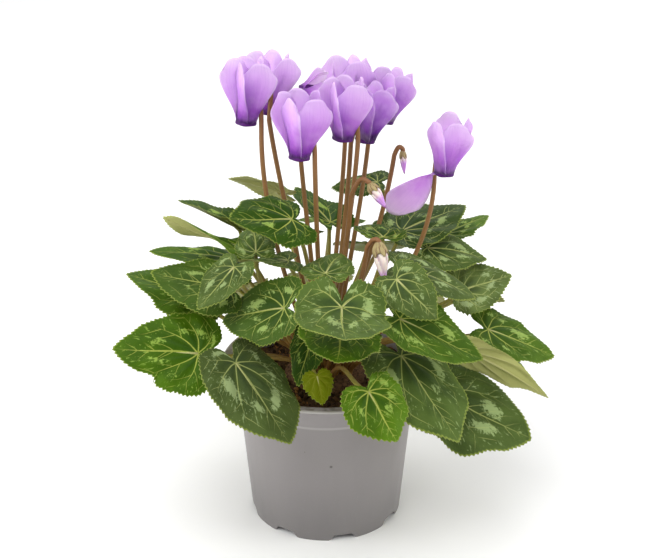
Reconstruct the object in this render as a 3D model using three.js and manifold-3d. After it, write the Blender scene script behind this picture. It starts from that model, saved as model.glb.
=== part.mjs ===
// A cyclamen in its nursery pot. Millimetres, +Z up. The origin is on the pot's axis, on the
// surface that the pot stands on. -Y is the side that the plant shows best.

import * as THREE from 'three';
import { mergeVertices } from 'three/addons/utils/BufferGeometryUtils.js';
import Module from 'manifold-3d';

const wasm = await Module();
wasm.setup();

// Pot, a 10.5 cm nursery pot. Its floor stands clear of the surface on a foot ring, which is
// notched, and on a pad in the middle.
const POT_HEIGHT = 82;
const RIM_RADIUS = 52.5;
const LIP_WIDTH = 4.4;
const LIP_ROUND = 0.6;
const COLLAR_DEPTH = 14;
const BODY_TOP_RADIUS = 44.4;
const BASE_RADIUS = 38.3;
const WALL = 1.4;
const FLOOR_UNDERSIDE = 4;
const CENTRE_PAD_RADIUS = 14;
const POT_SEGMENTS = 24;
const FOOT_NOTCHES = 8;
const NOTCH_WIDTH = 11;
const NOTCH_HEIGHT = 3.2;
const NOTCH_TURN = 13;
const DRAIN_HOLES = 6;
const DRAIN_RADIUS = 3.5;
const DRAIN_CIRCLE = 25;

// Soil and tuber
const SOIL_LEVEL = 74.5;
const SOIL_GAP = 0.3;
const SOIL_LUMPS = 1.4;
const SOIL_LUMP_RADIUS = 30;
const TUBER_BOTTOM = 62;
const TUBER_TOP = 78.5;
const TUBER_RADIUS = 21;
const TUBER_SEGMENTS = 12;

// Feet of the stems: they stand in plain holes in the tuber's crown, on a hexagonal grid. Those
// of high leaves and of flowers stand nearer to the middle.
const STEM_FOOT = 73.5;
const HOLE_CLEARANCE = 0.35;
const CROWN_PITCH = 3.4;
const CROWN_RADIUS = 16.2;
const CROWN_FOOT_LIMIT = 14;
const CROWN_SHARE = 0.12;
const HIGH_HUB = 150;

// Leaves
const BLADE_THICKNESS = 0.8;
const PETIOLE_RADIUS = 1.2;
const HUB_RADIUS = 1.0;
const MIDRIB_RADIUS = 0.4;
const PETIOLE_SPANS = 3;
const STEM_SIDES = 5;
const TOOTH = 0.035;
const RIM_SPACING = 4.5;
const FEWEST_RIM_PAIRS = 8;
const INNER_RING = 0.55;

// Flowers and buds
const PETAL_THICKNESS = 0.8;
const SCAPE_RADIUS = 1.15;
const SCAPE_SPANS = 4;
const SCAPE_CLEARANCE = 0.35;
const THROAT_RADIUS = 4.7;
const THROAT_HEIGHT = 7.6;
const THROAT_SIDES = 6;
const CALYX_RADIUS = 2.4;
const CALYX_HEIGHT = 1.9;
const FLOWER_GAP = 0.3;
const BUD_SIDES = 6;
const BUD_CALYX_END = 0.42;

const COLOURS = {
  pot: { color: 0x9a9698, roughness: 0.55 },
  soil: { color: 0x2a1d14, roughness: 0.95 },
  tuber: { color: 0x4a3424, roughness: 0.9 },
  leaf: { color: 0x3f6b35, roughness: 0.5 },
  petal: { color: 0xc18ae8, roughness: 0.6 },
  scape: { color: 0x8a5236, roughness: 0.5 },
  bud: { color: 0xe3c0e6, roughness: 0.6 },
};

// One row a leaf: the hub, where the petiole meets the blade, then the way that the midrib
// points (heading from +X towards +Y, and dip below level), the roll about the midrib, and the
// length from hub to tip. Degrees and millimetres. droop, cup, lobe, fold, wave and twist shape
// the blade, full rounds its shoulders, bow pushes the petiole aside, rise says how steeply it
// arrives, and joins names the leaf that it shares a root with.
const LEAVES = [
  { name: 'leaf_01', hub: [-60, -39, 106], heading: 176, dip: -3, roll: 50,
    length: 42, width: 43, droop: 0.12 },
  { name: 'leaf_02', hub: [-59, -5, 118], heading: 173, dip: -18, roll: 10,
    length: 41, width: 41, droop: 0.05 },
  { name: 'leaf_03', hub: [-46, -31, 136], heading: 170, dip: -10, roll: 20,
    length: 38, width: 39, droop: 0.08, bow: [-3, 6, 0] },
  { name: 'leaf_04', hub: [-42, -38, 150], heading: 230, dip: 24, roll: 5,
    length: 28, width: 24, droop: 0.12, bow: [-14, -8, 0] },
  { name: 'leaf_05', hub: [-41, -58, 111], heading: 315, dip: 35, roll: 8,
    length: 46, width: 47, droop: 0.06, full: 0.9 },
  { name: 'leaf_06', hub: [-19, -52, 136], heading: 160, dip: 14, roll: 38,
    length: 36, width: 37, lobe: 0.2, bow: [-20, 0, 2] },
  { name: 'leaf_07', hub: [7, -72, 146], heading: 271, dip: -4, roll: 5,
    length: 42, width: 44, droop: 0, lobe: 1, bow: [4, 0, 3], full: 0.3 },
  { name: 'leaf_08', hub: [7, -67, 133], heading: 266, dip: 0, roll: 8,
    length: 36, width: 40, droop: 0, lobe: 0.2, bow: [5, 0, -5] },
  { name: 'leaf_09', hub: [-6, -37, 115], heading: 240, dip: 50, roll: 0,
    length: 26, width: 22, droop: 0.13, bow: [-4, 0, 0] },
  { name: 'leaf_10', hub: [-4, -54, 102], heading: 292, dip: 55, roll: 0,
    length: 14, width: 17, joins: 'leaf_09', droop: 0.08, full: 0.2 },
  { name: 'leaf_11', hub: [19, -83, 110], heading: 317, dip: 47, roll: -12,
    length: 26, width: 34, droop: 0.04, bow: [5, 0, -4], full: 0.5 },
  { name: 'leaf_12', hub: [35, -49, 110], heading: 310, dip: 32, roll: 6,
    length: 49, width: 51, droop: 0.1, lobe: -0.2, full: 0.7 },
  { name: 'leaf_13', hub: [34, -51, 130], heading: 356, dip: 26, roll: -16,
    length: 44, width: 43, droop: 0.06, cup: -0.1 },
  { name: 'leaf_14', hub: [32, -49, 149], heading: 320, dip: 28, roll: -35,
    length: 27, width: 27, droop: 0.13, bow: [0, -3, 0] },
  { name: 'leaf_15', hub: [37, -25, 144], heading: 2, dip: 16, roll: -5,
    length: 38, width: 40, cup: 0.17, bow: [3, 7, 0] },
  { name: 'leaf_16', hub: [38, 20, 144], heading: 32, dip: -10, roll: -5,
    length: 40, width: 41, droop: 0.09, cup: 0.1 },
  { name: 'leaf_17', hub: [50, 12, 138], heading: 14, dip: 8, roll: -18,
    length: 34, width: 33 },
  { name: 'leaf_18', hub: [62, 42, 133], heading: 30, dip: -14, roll: 5,
    length: 27, width: 26, droop: 0.1, joins: 'leaf_17' },
  { name: 'leaf_19', hub: [67, 7, 117], heading: 15, dip: -14, roll: -34,
    length: 28, width: 31, droop: 0.1 },
  { name: 'leaf_20', hub: [69, 22, 109], heading: 12, dip: 12, roll: 50,
    length: 24, width: 26, droop: 0.13, joins: 'leaf_19' },
  { name: 'leaf_21', hub: [81, 4, 97], heading: 358, dip: 18, roll: -15,
    length: 38, width: 39, droop: 0.16 },
  { name: 'leaf_22', hub: [81, 5, 85], heading: 355, dip: 30, roll: -8,
    length: 31, width: 32, droop: 0.18, joins: 'leaf_21' },
  { name: 'leaf_23', hub: [55, -36, 83], heading: 345, dip: 24, roll: -14,
    length: 49, width: 56, droop: 0, bow: [0, 0, 3], rise: 0.1, full: 0.6 },
  { name: 'leaf_24', hub: [-22, 38, 157], heading: 168, dip: -16, roll: -42,
    length: 29, width: 28, droop: 0.11 },
  { name: 'leaf_25', hub: [2, 31, 144], heading: 128, dip: -20, roll: -17,
    length: 31, width: 35, droop: 0.05, cup: -0.24 },
  { name: 'leaf_26', hub: [-16, -19, 166], heading: 214, dip: -12, roll: 22,
    length: 35, width: 39, droop: 0, bow: [4, 6, 0] },
  { name: 'leaf_27', hub: [-42, 18, 146], heading: 169, dip: -24, roll: -16,
    length: 35, width: 34, droop: 0.05, cup: -0.28 },
  { name: 'leaf_28', hub: [-41, 1, 143], heading: 179, dip: -20, roll: -6,
    length: 41, width: 36, droop: 0, joins: 'leaf_27', twist: 0.9 },
  { name: 'leaf_29', hub: [-46, 19, 129], heading: 180, dip: -10, roll: -8,
    length: 43, width: 43, droop: 0.1 },
  { name: 'leaf_30', hub: [-33, -16, 148], heading: 96, dip: -20, roll: -4,
    length: 23, width: 21, droop: 0.17 },
  { name: 'leaf_31', hub: [-18, -21, 146], heading: 197, dip: -8, roll: -2,
    length: 25, width: 27, droop: 0.06, joins: 'leaf_30', twist: 0.6 },
  { name: 'leaf_32', hub: [0, -38, 147], heading: 75, dip: -4, roll: 0,
    length: 28, width: 26, droop: 0.18, bow: [6, 3, 0] },
  { name: 'leaf_33', hub: [27, -12, 154], heading: 110, dip: -2, roll: -8,
    length: 22, width: 28, droop: 0.16, bow: [-1, 6, 0], cup: -0.12 },
  { name: 'leaf_34', hub: [26, 53, 157], heading: 157, dip: 8, roll: 10,
    length: 27, width: 28, droop: 0.16 },
  { name: 'leaf_35', hub: [56, 52, 119], heading: 42, dip: 20, roll: 0,
    length: 40, width: 41 },
  { name: 'leaf_36', hub: [22, 70, 116], heading: 78, dip: 22, roll: 5,
    length: 41, width: 42 },
  { name: 'leaf_37', hub: [-20, 70, 122], heading: 108, dip: 20, roll: -5,
    length: 40, width: 42 },
  { name: 'leaf_38', hub: [-56, 44, 113], heading: 146, dip: 22, roll: 5,
    length: 42, width: 42 },
  { name: 'leaf_39', hub: [44, 58, 96], heading: 58, dip: 34, roll: 0,
    length: 38, width: 40, joins: 'leaf_35' },
  { name: 'leaf_40', hub: [-4, 70, 97], heading: 94, dip: 34, roll: 0,
    length: 40, width: 40, joins: 'leaf_36' },
  { name: 'leaf_41', hub: [-46, 56, 95], heading: 128, dip: 34, roll: 0,
    length: 38, width: 38, joins: 'leaf_38' },
  { name: 'leaf_42', hub: [2, 58, 134], heading: 88, dip: 14, roll: 0,
    length: 38, width: 39, joins: 'leaf_37' },
  { name: 'leaf_43', hub: [70, -18, 96], heading: 354, dip: 24, roll: 78,
    length: 44, width: 20, rise: 0.3, bow: [0, 0, 6] },
];

// One row a flower: the middle of its mouth, the way that it leans (lean degrees towards
// leanTo), where the stem stands beside the mouth (stemAt), its size, and how far it opens.
// bow pushes the stem aside, and hanging is the petal that has dropped.
const FLOWERS = [
  { name: 'a', mouth: [-37, 0, 207], lean: 5, leanTo: 20,
    stemAt: 0, size: 0.9, open: 0.6, bow: [-5, -4, 0] },
  { name: 'b', mouth: [-28, 23, 205], lean: 6, leanTo: 0,
    stemAt: 280, size: 0.85, open: 0.7, bow: [1, 6, 0] },
  { name: 'c', mouth: [-12, -17, 196], lean: 4, leanTo: 20,
    stemAt: 0, size: 0.9, open: 1.0 },
  { name: 'd', mouth: [-11, 20, 214], lean: 80, leanTo: 10,
    stemAt: 90, size: 0.42, open: 0.7 },
  { name: 'e', mouth: [8, -2, 200], lean: 4, leanTo: 0,
    stemAt: 350, size: 0.85, open: 0.75 },
  { name: 'f', mouth: [19, 16, 193], lean: 8, leanTo: 0,
    stemAt: 200, size: 0.82, open: 0.65 },
  { name: 'g', mouth: [11, 45, 193], lean: 2, leanTo: 90,
    stemAt: 260, size: 0.95, open: 0.75 },
  { name: 'h', mouth: [29, 42, 194], lean: 12, leanTo: 0,
    stemAt: 200, size: 0.78, open: 0.55 },
  { name: 'i', mouth: [56, 0, 182], lean: 2, leanTo: 0,
    stemAt: 125, size: 0.83, open: 1.0, hanging: 0, bow: [8, -7, 0] },
];

// One row a bud: where its stem hooks over, the ends of the hanging bud, its radius, and how
// high the hook arches.
const BUDS = [
  { name: 'j', neck: [33, 18, 184], top: [37, 19, 187], tip: [38, 16, 175],
    radius: 1.8, arch: 2.5 },
  { name: 'k', neck: [12, -9, 174], top: [20, -13, 182], tip: [28, -18, 171],
    radius: 2.8, arch: 4.5 },
  { name: 'l', neck: [19, -32, 157], top: [24, -35, 162], tip: [27, -41, 144],
    radius: 3.6, arch: 2 },
];

const deg = THREE.MathUtils.degToRad;
const vec = (x, y, z) => new THREE.Vector3(x, y, z);
const UP = vec(0, 0, 1);

// Turns a geometry into a solid. The normals and uvs go first, so that only places are merged.
function toSolid(geometry) {
  const bare = new THREE.BufferGeometry();
  bare.setAttribute('position', geometry.getAttribute('position').clone());
  if (geometry.index) bare.setIndex(geometry.index.clone());
  const welded = mergeVertices(bare, 1e-4);
  return new wasm.Manifold(new wasm.Mesh({
    numProp: 3,
    vertProperties: new Float32Array(welded.getAttribute('position').array),
    triVerts: new Uint32Array(welded.index.array),
  }));
}

function toGeometry(solid) {
  const mesh = solid.getMesh();
  const geometry = new THREE.BufferGeometry();
  const places = new Float32Array(mesh.vertProperties);
  geometry.setAttribute('position', new THREE.BufferAttribute(places, 3));
  geometry.setIndex(new THREE.BufferAttribute(new Uint32Array(mesh.triVerts), 1));
  return geometry;
}

// The largest body of a solid, without loose scraps that a cut leaves.
function mainBody(solid) {
  return solid.decompose().sort((a, b) => b.volume() - a.volume())[0];
}

// A closed solid between two faces that share one list of triangles and one rim.
function slab(upper, lower, triangles, rim) {
  const places = [...upper, ...lower].flatMap((p) => [p.x, p.y, p.z]);
  const count = upper.length;
  const index = [];
  for (const [a, b, c] of triangles) {
    index.push(a, b, c, count + a, count + c, count + b);
  }
  rim.forEach((a, i) => {
    const b = rim[(i + 1) % rim.length];
    index.push(a, count + a, b, b, count + a, count + b);
  });
  const geometry = new THREE.BufferGeometry();
  geometry.setAttribute('position', new THREE.Float32BufferAttribute(places, 3));
  geometry.setIndex(index);
  return toSolid(geometry);
}

// A closed round stem through points, with a radius at each of them.
function stem(points, radii, sides = STEM_SIDES) {
  const tangent = (i) => {
    const from = points[Math.max(i - 1, 0)];
    const to = points[Math.min(i + 1, points.length - 1)];
    return to.clone().sub(from).normalize();
  };
  let side = vec(1, 0, 0);
  const places = [];
  points.forEach((point, i) => {
    const along = tangent(i);
    side = side.clone().addScaledVector(along, -side.dot(along)).normalize();
    const other = along.clone().cross(side);
    for (let k = 0; k < sides; k += 1) {
      const angle = (2 * Math.PI * k) / sides;
      const p = point.clone()
        .addScaledVector(side, Math.cos(angle) * radii[i])
        .addScaledVector(other, Math.sin(angle) * radii[i]);
      places.push(p.x, p.y, p.z);
    }
  });
  const index = [];
  for (let i = 0; i + 1 < points.length; i += 1) {
    for (let k = 0; k < sides; k += 1) {
      const a = i * sides + k;
      const b = i * sides + ((k + 1) % sides);
      index.push(a, b, a + sides, b, b + sides, a + sides);
    }
  }
  const last = (points.length - 1) * sides;
  for (let k = 1; k + 1 < sides; k += 1) {
    index.push(0, k + 1, k);
    index.push(last, last + k, last + k + 1);
  }
  const geometry = new THREE.BufferGeometry();
  geometry.setAttribute('position', new THREE.Float32BufferAttribute(places, 3));
  geometry.setIndex(index);
  return toSolid(geometry);
}

// A body turned round +Z, from its profile of [radius, height] pairs.
function lathed(profile, segments) {
  const points = profile.map(([x, y]) => new THREE.Vector2(x, y));
  return new THREE.LatheGeometry(points, segments).rotateX(Math.PI / 2);
}

// Reads a curve that is given by its values at rising stations.
function between(stations, values, at) {
  let i = 1;
  while (i < stations.length - 1 && at > stations[i]) i += 1;
  const part = (at - stations[i - 1]) / (stations[i] - stations[i - 1]);
  return values[i - 1] + (values[i] - values[i - 1]) * part;
}

// Half the outline of a heart-shaped blade of length 1: the reach from the hub at each angle
// from the tip.
const HEART_ANGLES = [0, 13, 29, 43, 69, 80, 93, 110, 125, 140, 150, 160, 180];
const HEART_REACH = [1, 0.86, 0.745, 0.665, 0.575, 0.545, 0.52, 0.48, 0.42, 0.34, 0.24, 0.13, 0.05];
const HEART_WIDTH = 1.075;
const SHOULDER_TURN = 75;
const SHOULDER_REACH = 0.12;

// The directions of a blade: along its midrib, out to its left side, and off its upper face.
function bladeAxes({ heading, dip, roll }) {
  const level = Math.cos(deg(dip));
  const along = vec(
    level * Math.cos(deg(heading)),
    level * Math.sin(deg(heading)),
    -Math.sin(deg(dip)),
  );
  const flatNormal = UP.clone().addScaledVector(along, -UP.dot(along)).normalize();
  const flatSide = flatNormal.clone().cross(along);
  const normal = flatNormal.clone().multiplyScalar(Math.cos(deg(roll)))
    .addScaledVector(flatSide, Math.sin(deg(roll)));
  const side = normal.clone().cross(along);
  return { along, side, normal };
}

// How high the upper face stands over the flat plane at x along and y beside the midrib.
function bladeHeight(leaf, x, y) {
  const { length, droop = 0.22, cup = 0.14, fold = 0.06, lobe = 0, wave = 0.03 } = leaf;
  const { twist = 0 } = leaf;
  const X = x / length;
  const Y = y / length;
  const far = X * X + Y * Y;
  return length * (
    -droop * Math.max(X, 0) ** 2
    - 1.6 * cup * Y * Y
    + fold * Math.abs(Y)
    + lobe * Math.max(-X, 0)
    + twist * X * Y
    + wave * far * Math.cos(3 * Math.atan2(Y, X))
  );
}

// The blade: two like faces round the hub with a toothed, heart-shaped rim.
function bladeSolid(leaf) {
  const { hub, length, width, full = 0 } = leaf;
  const axes = bladeAxes(leaf);
  const steps = 2 * Math.max(Math.round(length / RIM_SPACING), FEWEST_RIM_PAIRS);
  const spread = width / (length * HEART_WIDTH);
  const origin = vec(...hub);
  const place = (x, y) => origin.clone()
    .addScaledVector(axes.along, x)
    .addScaledVector(axes.side, y)
    .addScaledVector(axes.normal, bladeHeight(leaf, x, y));
  const at = (i, share) => {
    const angle = (360 * i) / steps;
    const turn = Math.min(angle, 360 - angle);
    const tooth = i % 2 ? 1 - TOOTH : 1 + TOOTH;
    const shoulder = Math.sin(Math.PI * Math.min(turn / SHOULDER_TURN, 1));
    const heart = between(HEART_ANGLES, HEART_REACH, turn) + SHOULDER_REACH * full * shoulder;
    const reach = length * share * heart * (i ? tooth : 1);
    return place(reach * Math.cos(deg(angle)), reach * Math.sin(deg(angle)) * spread);
  };
  const upper = [place(0, 0)];
  for (let i = 0; i < steps; i += 2) upper.push(at(i, INNER_RING));
  for (let i = 0; i < steps; i += 1) upper.push(at(i, 1));
  const lower = upper.map((p) => p.clone().addScaledVector(axes.normal, -BLADE_THICKNESS));
  const inner = (k) => 1 + (k % (steps / 2));
  const outer = (i) => 1 + steps / 2 + (i % steps);
  const triangles = [];
  for (let k = 0; k < steps / 2; k += 1) {
    const i = 2 * k;
    triangles.push([0, inner(k), inner(k + 1)]);
    triangles.push([inner(k), outer(i), outer(i + 1)]);
    triangles.push([inner(k), outer(i + 1), inner(k + 1)]);
    triangles.push([inner(k + 1), outer(i + 1), outer(i + 2)]);
  }
  const rim = Array.from({ length: steps }, (_, i) => outer(i));
  return slab(upper, lower, triangles, rim);
}

// The point in the middle of a stem's hole, where it comes out of the tuber.
const crownPoint = (root) => vec(root.x, root.y, TUBER_TOP + 1);

// The curve of a petiole above its root, up to just under the hub.
function petioleCurve(leaf, start) {
  const { along, normal } = bladeAxes(leaf);
  const under = BLADE_THICKNESS + 0.45;
  const end = vec(...leaf.hub).addScaledVector(normal, -under);
  const span = end.distanceTo(start);
  const outward = vec(end.x - start.x, end.y - start.y, 0).normalize();
  const arrive = normal.clone().multiplyScalar(leaf.rise ?? 0.75).addScaledVector(along, 0.65);
  const bow = vec(...(leaf.bow ?? [0, 0, 0]));
  const first = start.clone().add(bow)
    .addScaledVector(UP, span * 0.3)
    .addScaledVector(outward, span * 0.1);
  const second = end.clone().add(bow).addScaledVector(arrive.normalize(), -span * 0.3);
  return new THREE.CubicBezierCurve3(start, first, second, end).getPoints(PETIOLE_SPANS);
}

// The petiole's middle line. A leaf that is joined to another one branches off its petiole.
function petiolePoints(leaf, root) {
  const crown = crownPoint(root);
  if (leaf.joins) {
    const main = LEAVES.find(({ name }) => name === leaf.joins);
    const [from, to] = petioleCurve(main, crown);
    return petioleCurve(leaf, from.lerp(to, 0.3));
  }
  return [vec(root.x, root.y, STEM_FOOT), ...petioleCurve(leaf, crown)];
}

// The petiole narrows to the hub and runs out under the midrib.
function petioleSolid(leaf, root) {
  const { along, normal } = bladeAxes(leaf);
  const points = petiolePoints(leaf, root);
  const taper = (HUB_RADIUS - PETIOLE_RADIUS) / (points.length - 1);
  const radii = points.map((_, i) => PETIOLE_RADIUS + taper * i);
  const x = leaf.length * 0.12;
  points.push(vec(...leaf.hub)
    .addScaledVector(along, x)
    .addScaledVector(normal, bladeHeight(leaf, x, 0) - BLADE_THICKNESS + 0.05));
  radii.push(MIDRIB_RADIUS);
  return stem(points, radii);
}

function leafSolid(leaf, root) {
  return mainBody(bladeSolid(leaf).add(petioleSolid(leaf, root)));
}

// Feet of the stems on the crown: each stem, nearest first, takes the free place of a
// hexagonal grid that lies closest to its own side of the crown.
function crownPlaces(stems) {
  const grid = [];
  for (let row = -6; row <= 6; row += 1) {
    for (let column = -6; column <= 6; column += 1) {
      const x = (column + (row % 2 ? 0.5 : 0)) * CROWN_PITCH;
      const y = row * CROWN_PITCH * Math.sqrt(0.75);
      if (Math.hypot(x, y) < CROWN_RADIUS) grid.push(new THREE.Vector2(x, y));
    }
  }
  const places = new Map();
  const order = [...stems].sort((a, b) => a.reach - b.reach);
  for (const { name, x, y, reach } of order) {
    const wish = new THREE.Vector2(x, y).normalize();
    wish.multiplyScalar(Math.min(CROWN_FOOT_LIMIT, reach * CROWN_SHARE));
    grid.sort((a, b) => a.distanceTo(wish) - b.distanceTo(wish));
    places.set(name, grid.shift());
  }
  return places;
}

// A flower's own frame: its origin in the mouth, z towards the petal tips.
function flowerFrame({ mouth, lean, leanTo }) {
  const axis = vec(-Math.sin(deg(leanTo)), Math.cos(deg(leanTo)), 0);
  const turn = new THREE.Quaternion().setFromAxisAngle(axis, deg(lean));
  return (x, y, z) => vec(x, y, z).applyQuaternion(turn).add(vec(...mouth));
}

// A petal's outer face at stations from the lip of the mouth to its rounded tip: distance from
// the flower's axis, height over the mouth, half its width, and how far the edges drop there.
// Each petal overlaps the next one. It stands more askew in a flower that opens less.
const PETAL_RADIUS = [4.6, 6.6, 10.4, 9.6];
const PETAL_HEIGHT = [-0.4, 9.5, 22.5, 33];
const PETAL_HALF_WIDTH = [2.6, 5.2, 9.4, 6.4];
const PETAL_EDGE_DROP = [0, 0, 0.5, 4.4];
const PETAL_SKEW = 24;
const PETAL_CLOSING_SKEW = 36;
const PETAL_CURL = 0.06;

// The petal that has dropped hangs outwards and down from the mouth instead.
const HANGING_RADIUS = [4.6, 9.5, 17, 24];
const HANGING_HEIGHT = [-0.4, -4, -14, -23];
const HANGING_TWIST = [0, 40, 70, 75];

// Where the petals stand round the mouth, with the widest gap, at 0, for the stem.
const PETAL_TURNS = [48, 106, 166, 236, 312];

function petalSolid(flower, petal, frame) {
  const { size, open } = flower;
  const radial = vec(Math.cos(deg(petal.turn)), Math.sin(deg(petal.turn)), 0);
  const tangent = vec(-radial.y, radial.x, 0);
  const rows = PETAL_RADIUS.length;
  const turnedIn = deg(PETAL_SKEW + PETAL_CLOSING_SKEW * (1 - open));
  const mid = (i) => {
    if (petal.hangs) return vec(HANGING_RADIUS[i], 0, HANGING_HEIGHT[i]);
    if (i === 0) return vec(PETAL_RADIUS[0], 0, PETAL_HEIGHT[0]);
    return vec(THROAT_RADIUS + (PETAL_RADIUS[i] - THROAT_RADIUS) * open, 0, PETAL_HEIGHT[i] * size);
  };
  const outer = [];
  const inner = [];
  for (let i = 0; i < rows; i += 1) {
    const here = mid(i);
    const along = mid(Math.min(i + 1, rows - 1)).sub(mid(Math.max(i - 1, 0))).normalize();
    const inwards = vec(-along.z, 0, along.x);
    const half = PETAL_HALF_WIDTH[i] * (i === 0 ? 1 : size);
    const skew = i === 0 ? 0 : turnedIn;
    const twist = petal.hangs ? deg(HANGING_TWIST[i]) : 0;
    for (const t of [-1, 0, 1]) {
      const drop = PETAL_EDGE_DROP[i] * Math.abs(t) * size;
      const r = here.x + Math.sin(skew) * half * t - PETAL_CURL * Math.abs(t) * half - along.x * drop;
      const z = here.z - along.z * drop;
      for (const [face, depth] of [[outer, 0], [inner, PETAL_THICKNESS]]) {
        const lift = depth * Math.cos(twist) + half * t * Math.sin(twist);
        const p = radial.clone().multiplyScalar(r + inwards.x * lift)
          .addScaledVector(tangent, half * t * Math.cos(skew) * Math.cos(twist) - depth * Math.sin(twist))
          .addScaledVector(UP, z + inwards.z * lift);
        face.push(frame(p.x, p.y, p.z));
      }
    }
  }
  const triangles = [];
  for (let i = 0; i + 1 < rows; i += 1) {
    for (let k = 0; k < 2; k += 1) {
      const a = 3 * i + k;
      triangles.push([a, a + 1, a + 4], [a, a + 4, a + 3]);
    }
  }
  const rim = [0, 1, 2];
  for (let i = 1; i < rows - 1; i += 1) rim.push(3 * i + 2);
  rim.push(3 * rows - 1, 3 * rows - 2, 3 * rows - 3);
  for (let i = rows - 2; i > 0; i -= 1) rim.push(3 * i);
  return slab(outer, inner, triangles, rim);
}

// A solid turned round a flower's axis, from its profile of [radius, height] pairs.
function turned(profile, segments, frame) {
  const geometry = lathed(profile, segments);
  const places = geometry.getAttribute('position');
  for (let i = 0; i < places.count; i += 1) {
    const p = frame(places.getX(i), places.getY(i), places.getZ(i));
    places.setXYZ(i, p.x, p.y, p.z);
  }
  return toSolid(geometry);
}

function throatSolid(frame) {
  const r = THROAT_RADIUS;
  const h = THROAT_HEIGHT;
  return turned([
    [0, h - 2], [r - 1.3, -0.8], [r + 0.5, -0.8], [r - 0.9, h - 1.8], [0, h],
  ], THROAT_SIDES, frame);
}

// The curve of a flower's or a bud's stem above its root.
function scapeCurve(root, end, bow = [0, 0, 0]) {
  const start = crownPoint(root);
  const span = end.distanceTo(start);
  const first = start.clone().lerp(end, 0.33).add(vec(...bow));
  const second = end.clone().lerp(start, 0.16).addScaledVector(UP, -span * 0.16).add(vec(...bow));
  const curve = new THREE.CubicBezierCurve3(start, first, second, end);
  return [vec(root.x, root.y, STEM_FOOT), ...curve.getPoints(SCAPE_SPANS)];
}

// The stem goes up past the mouth, over in a hook among the petals and down to the calyx,
// which sits on the throat.
function scapeSolid(flower, frame, root, clearance = 0) {
  const turn = deg(flower.stemAt);
  const beside = (r, z) => frame(r * Math.cos(turn), r * Math.sin(turn), z);
  const rising = scapeCurve(root, beside(7.2, -2.5), flower.bow);
  const hook = [beside(6.6, 4.5), beside(5.2, 10.5), beside(2.2, 13), beside(0, 11.6)];
  const calyxFoot = THROAT_HEIGHT + FLOWER_GAP;
  const calyx = [beside(0, calyxFoot + CALYX_HEIGHT), beside(0, calyxFoot)];
  const points = [...rising, ...hook, ...calyx];
  const calyxStart = points.length - calyx.length;
  const radii = points.map((_, i) => clearance + (i < calyxStart ? SCAPE_RADIUS : CALYX_RADIUS));
  return stem(points, radii);
}

function corollaSolid(flower, frame, root) {
  let corolla = throatSolid(frame);
  PETAL_TURNS.forEach((turn, i) => {
    const petal = { turn: turn + flower.stemAt, hangs: flower.hanging === i };
    corolla = corolla.add(petalSolid(flower, petal, frame));
  });
  return mainBody(corolla.subtract(scapeSolid(flower, frame, root, SCAPE_CLEARANCE)));
}

// A point on the axis of a hanging bud, by its share of the way from the top to the tip.
function budPoint(bud, share) {
  return vec(...bud.top).lerp(vec(...bud.tip), share);
}

// The bud's stem hooks over and widens into the calyx, which holds the top of the bud.
function budStalkSolid(bud, root) {
  const neck = vec(...bud.neck);
  const hook = neck.clone().lerp(budPoint(bud, 0), 0.5).addScaledVector(UP, bud.arch);
  const calyx = [budPoint(bud, 0.18), budPoint(bud, BUD_CALYX_END)];
  const points = [...scapeCurve(root, neck), hook, budPoint(bud, 0), ...calyx];
  const radii = points.map(() => SCAPE_RADIUS);
  radii.splice(-2, 2, bud.radius * 0.85, bud.radius);
  return stem(points, radii);
}

// The rolled petals follow on from the calyx after a narrow gap.
function budPetalSolid(bud) {
  const down = vec(...bud.tip).sub(vec(...bud.top)).normalize();
  const top = budPoint(bud, BUD_CALYX_END).addScaledVector(down, FLOWER_GAP);
  const points = [top, budPoint(bud, 0.6), budPoint(bud, 0.85), budPoint(bud, 1)];
  return stem(points, [0.92, 0.95, 0.55, 0.12].map((share) => share * bud.radius), BUD_SIDES);
}

function potSolid() {
  const top = POT_HEIGHT;
  const collar = top - COLLAR_DEPTH;
  const lipInner = RIM_RADIUS - LIP_WIDTH;
  const floorTop = FLOOR_UNDERSIDE + WALL;
  let pot = toSolid(lathed([
    [0, 0], [CENTRE_PAD_RADIUS, 0], [CENTRE_PAD_RADIUS, FLOOR_UNDERSIDE],
    [BASE_RADIUS - WALL, FLOOR_UNDERSIDE], [BASE_RADIUS - WALL, 0], [BASE_RADIUS, 0],
    [BODY_TOP_RADIUS, collar], [RIM_RADIUS - LIP_ROUND / 3, top - 2 * LIP_ROUND],
    [RIM_RADIUS, top - LIP_ROUND], [RIM_RADIUS - LIP_ROUND, top], [lipInner, top],
    [lipInner - LIP_ROUND, top - 2 * LIP_ROUND], [BODY_TOP_RADIUS - WALL, collar - 0.5],
    [BASE_RADIUS - WALL + 0.5, floorTop], [0, floorTop],
  ], POT_SEGMENTS));
  for (let i = 0; i < FOOT_NOTCHES; i += 1) {
    const notch = new THREE.BoxGeometry(12, NOTCH_WIDTH, 2 * NOTCH_HEIGHT);
    notch.translate(BASE_RADIUS, 0, 0);
    notch.rotateZ(deg(NOTCH_TURN) + (i * 2 * Math.PI) / FOOT_NOTCHES);
    pot = pot.subtract(toSolid(notch));
  }
  for (let i = 0; i < DRAIN_HOLES; i += 1) {
    const hole = new THREE.CylinderGeometry(DRAIN_RADIUS, DRAIN_RADIUS, 12, 8);
    hole.rotateX(Math.PI / 2);
    hole.translate(DRAIN_CIRCLE, 0, FLOOR_UNDERSIDE);
    hole.rotateZ((i * 2 * Math.PI) / DRAIN_HOLES);
    pot = pot.subtract(toSolid(hole));
  }
  return pot;
}

// A small seeded random source, so that the soil is the same every time.
function randomSource(seed) {
  let state = seed;
  return () => {
    state = (state * 1664525 + 1013904223) % 4294967296;
    return state / 4294967296;
  };
}

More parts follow.
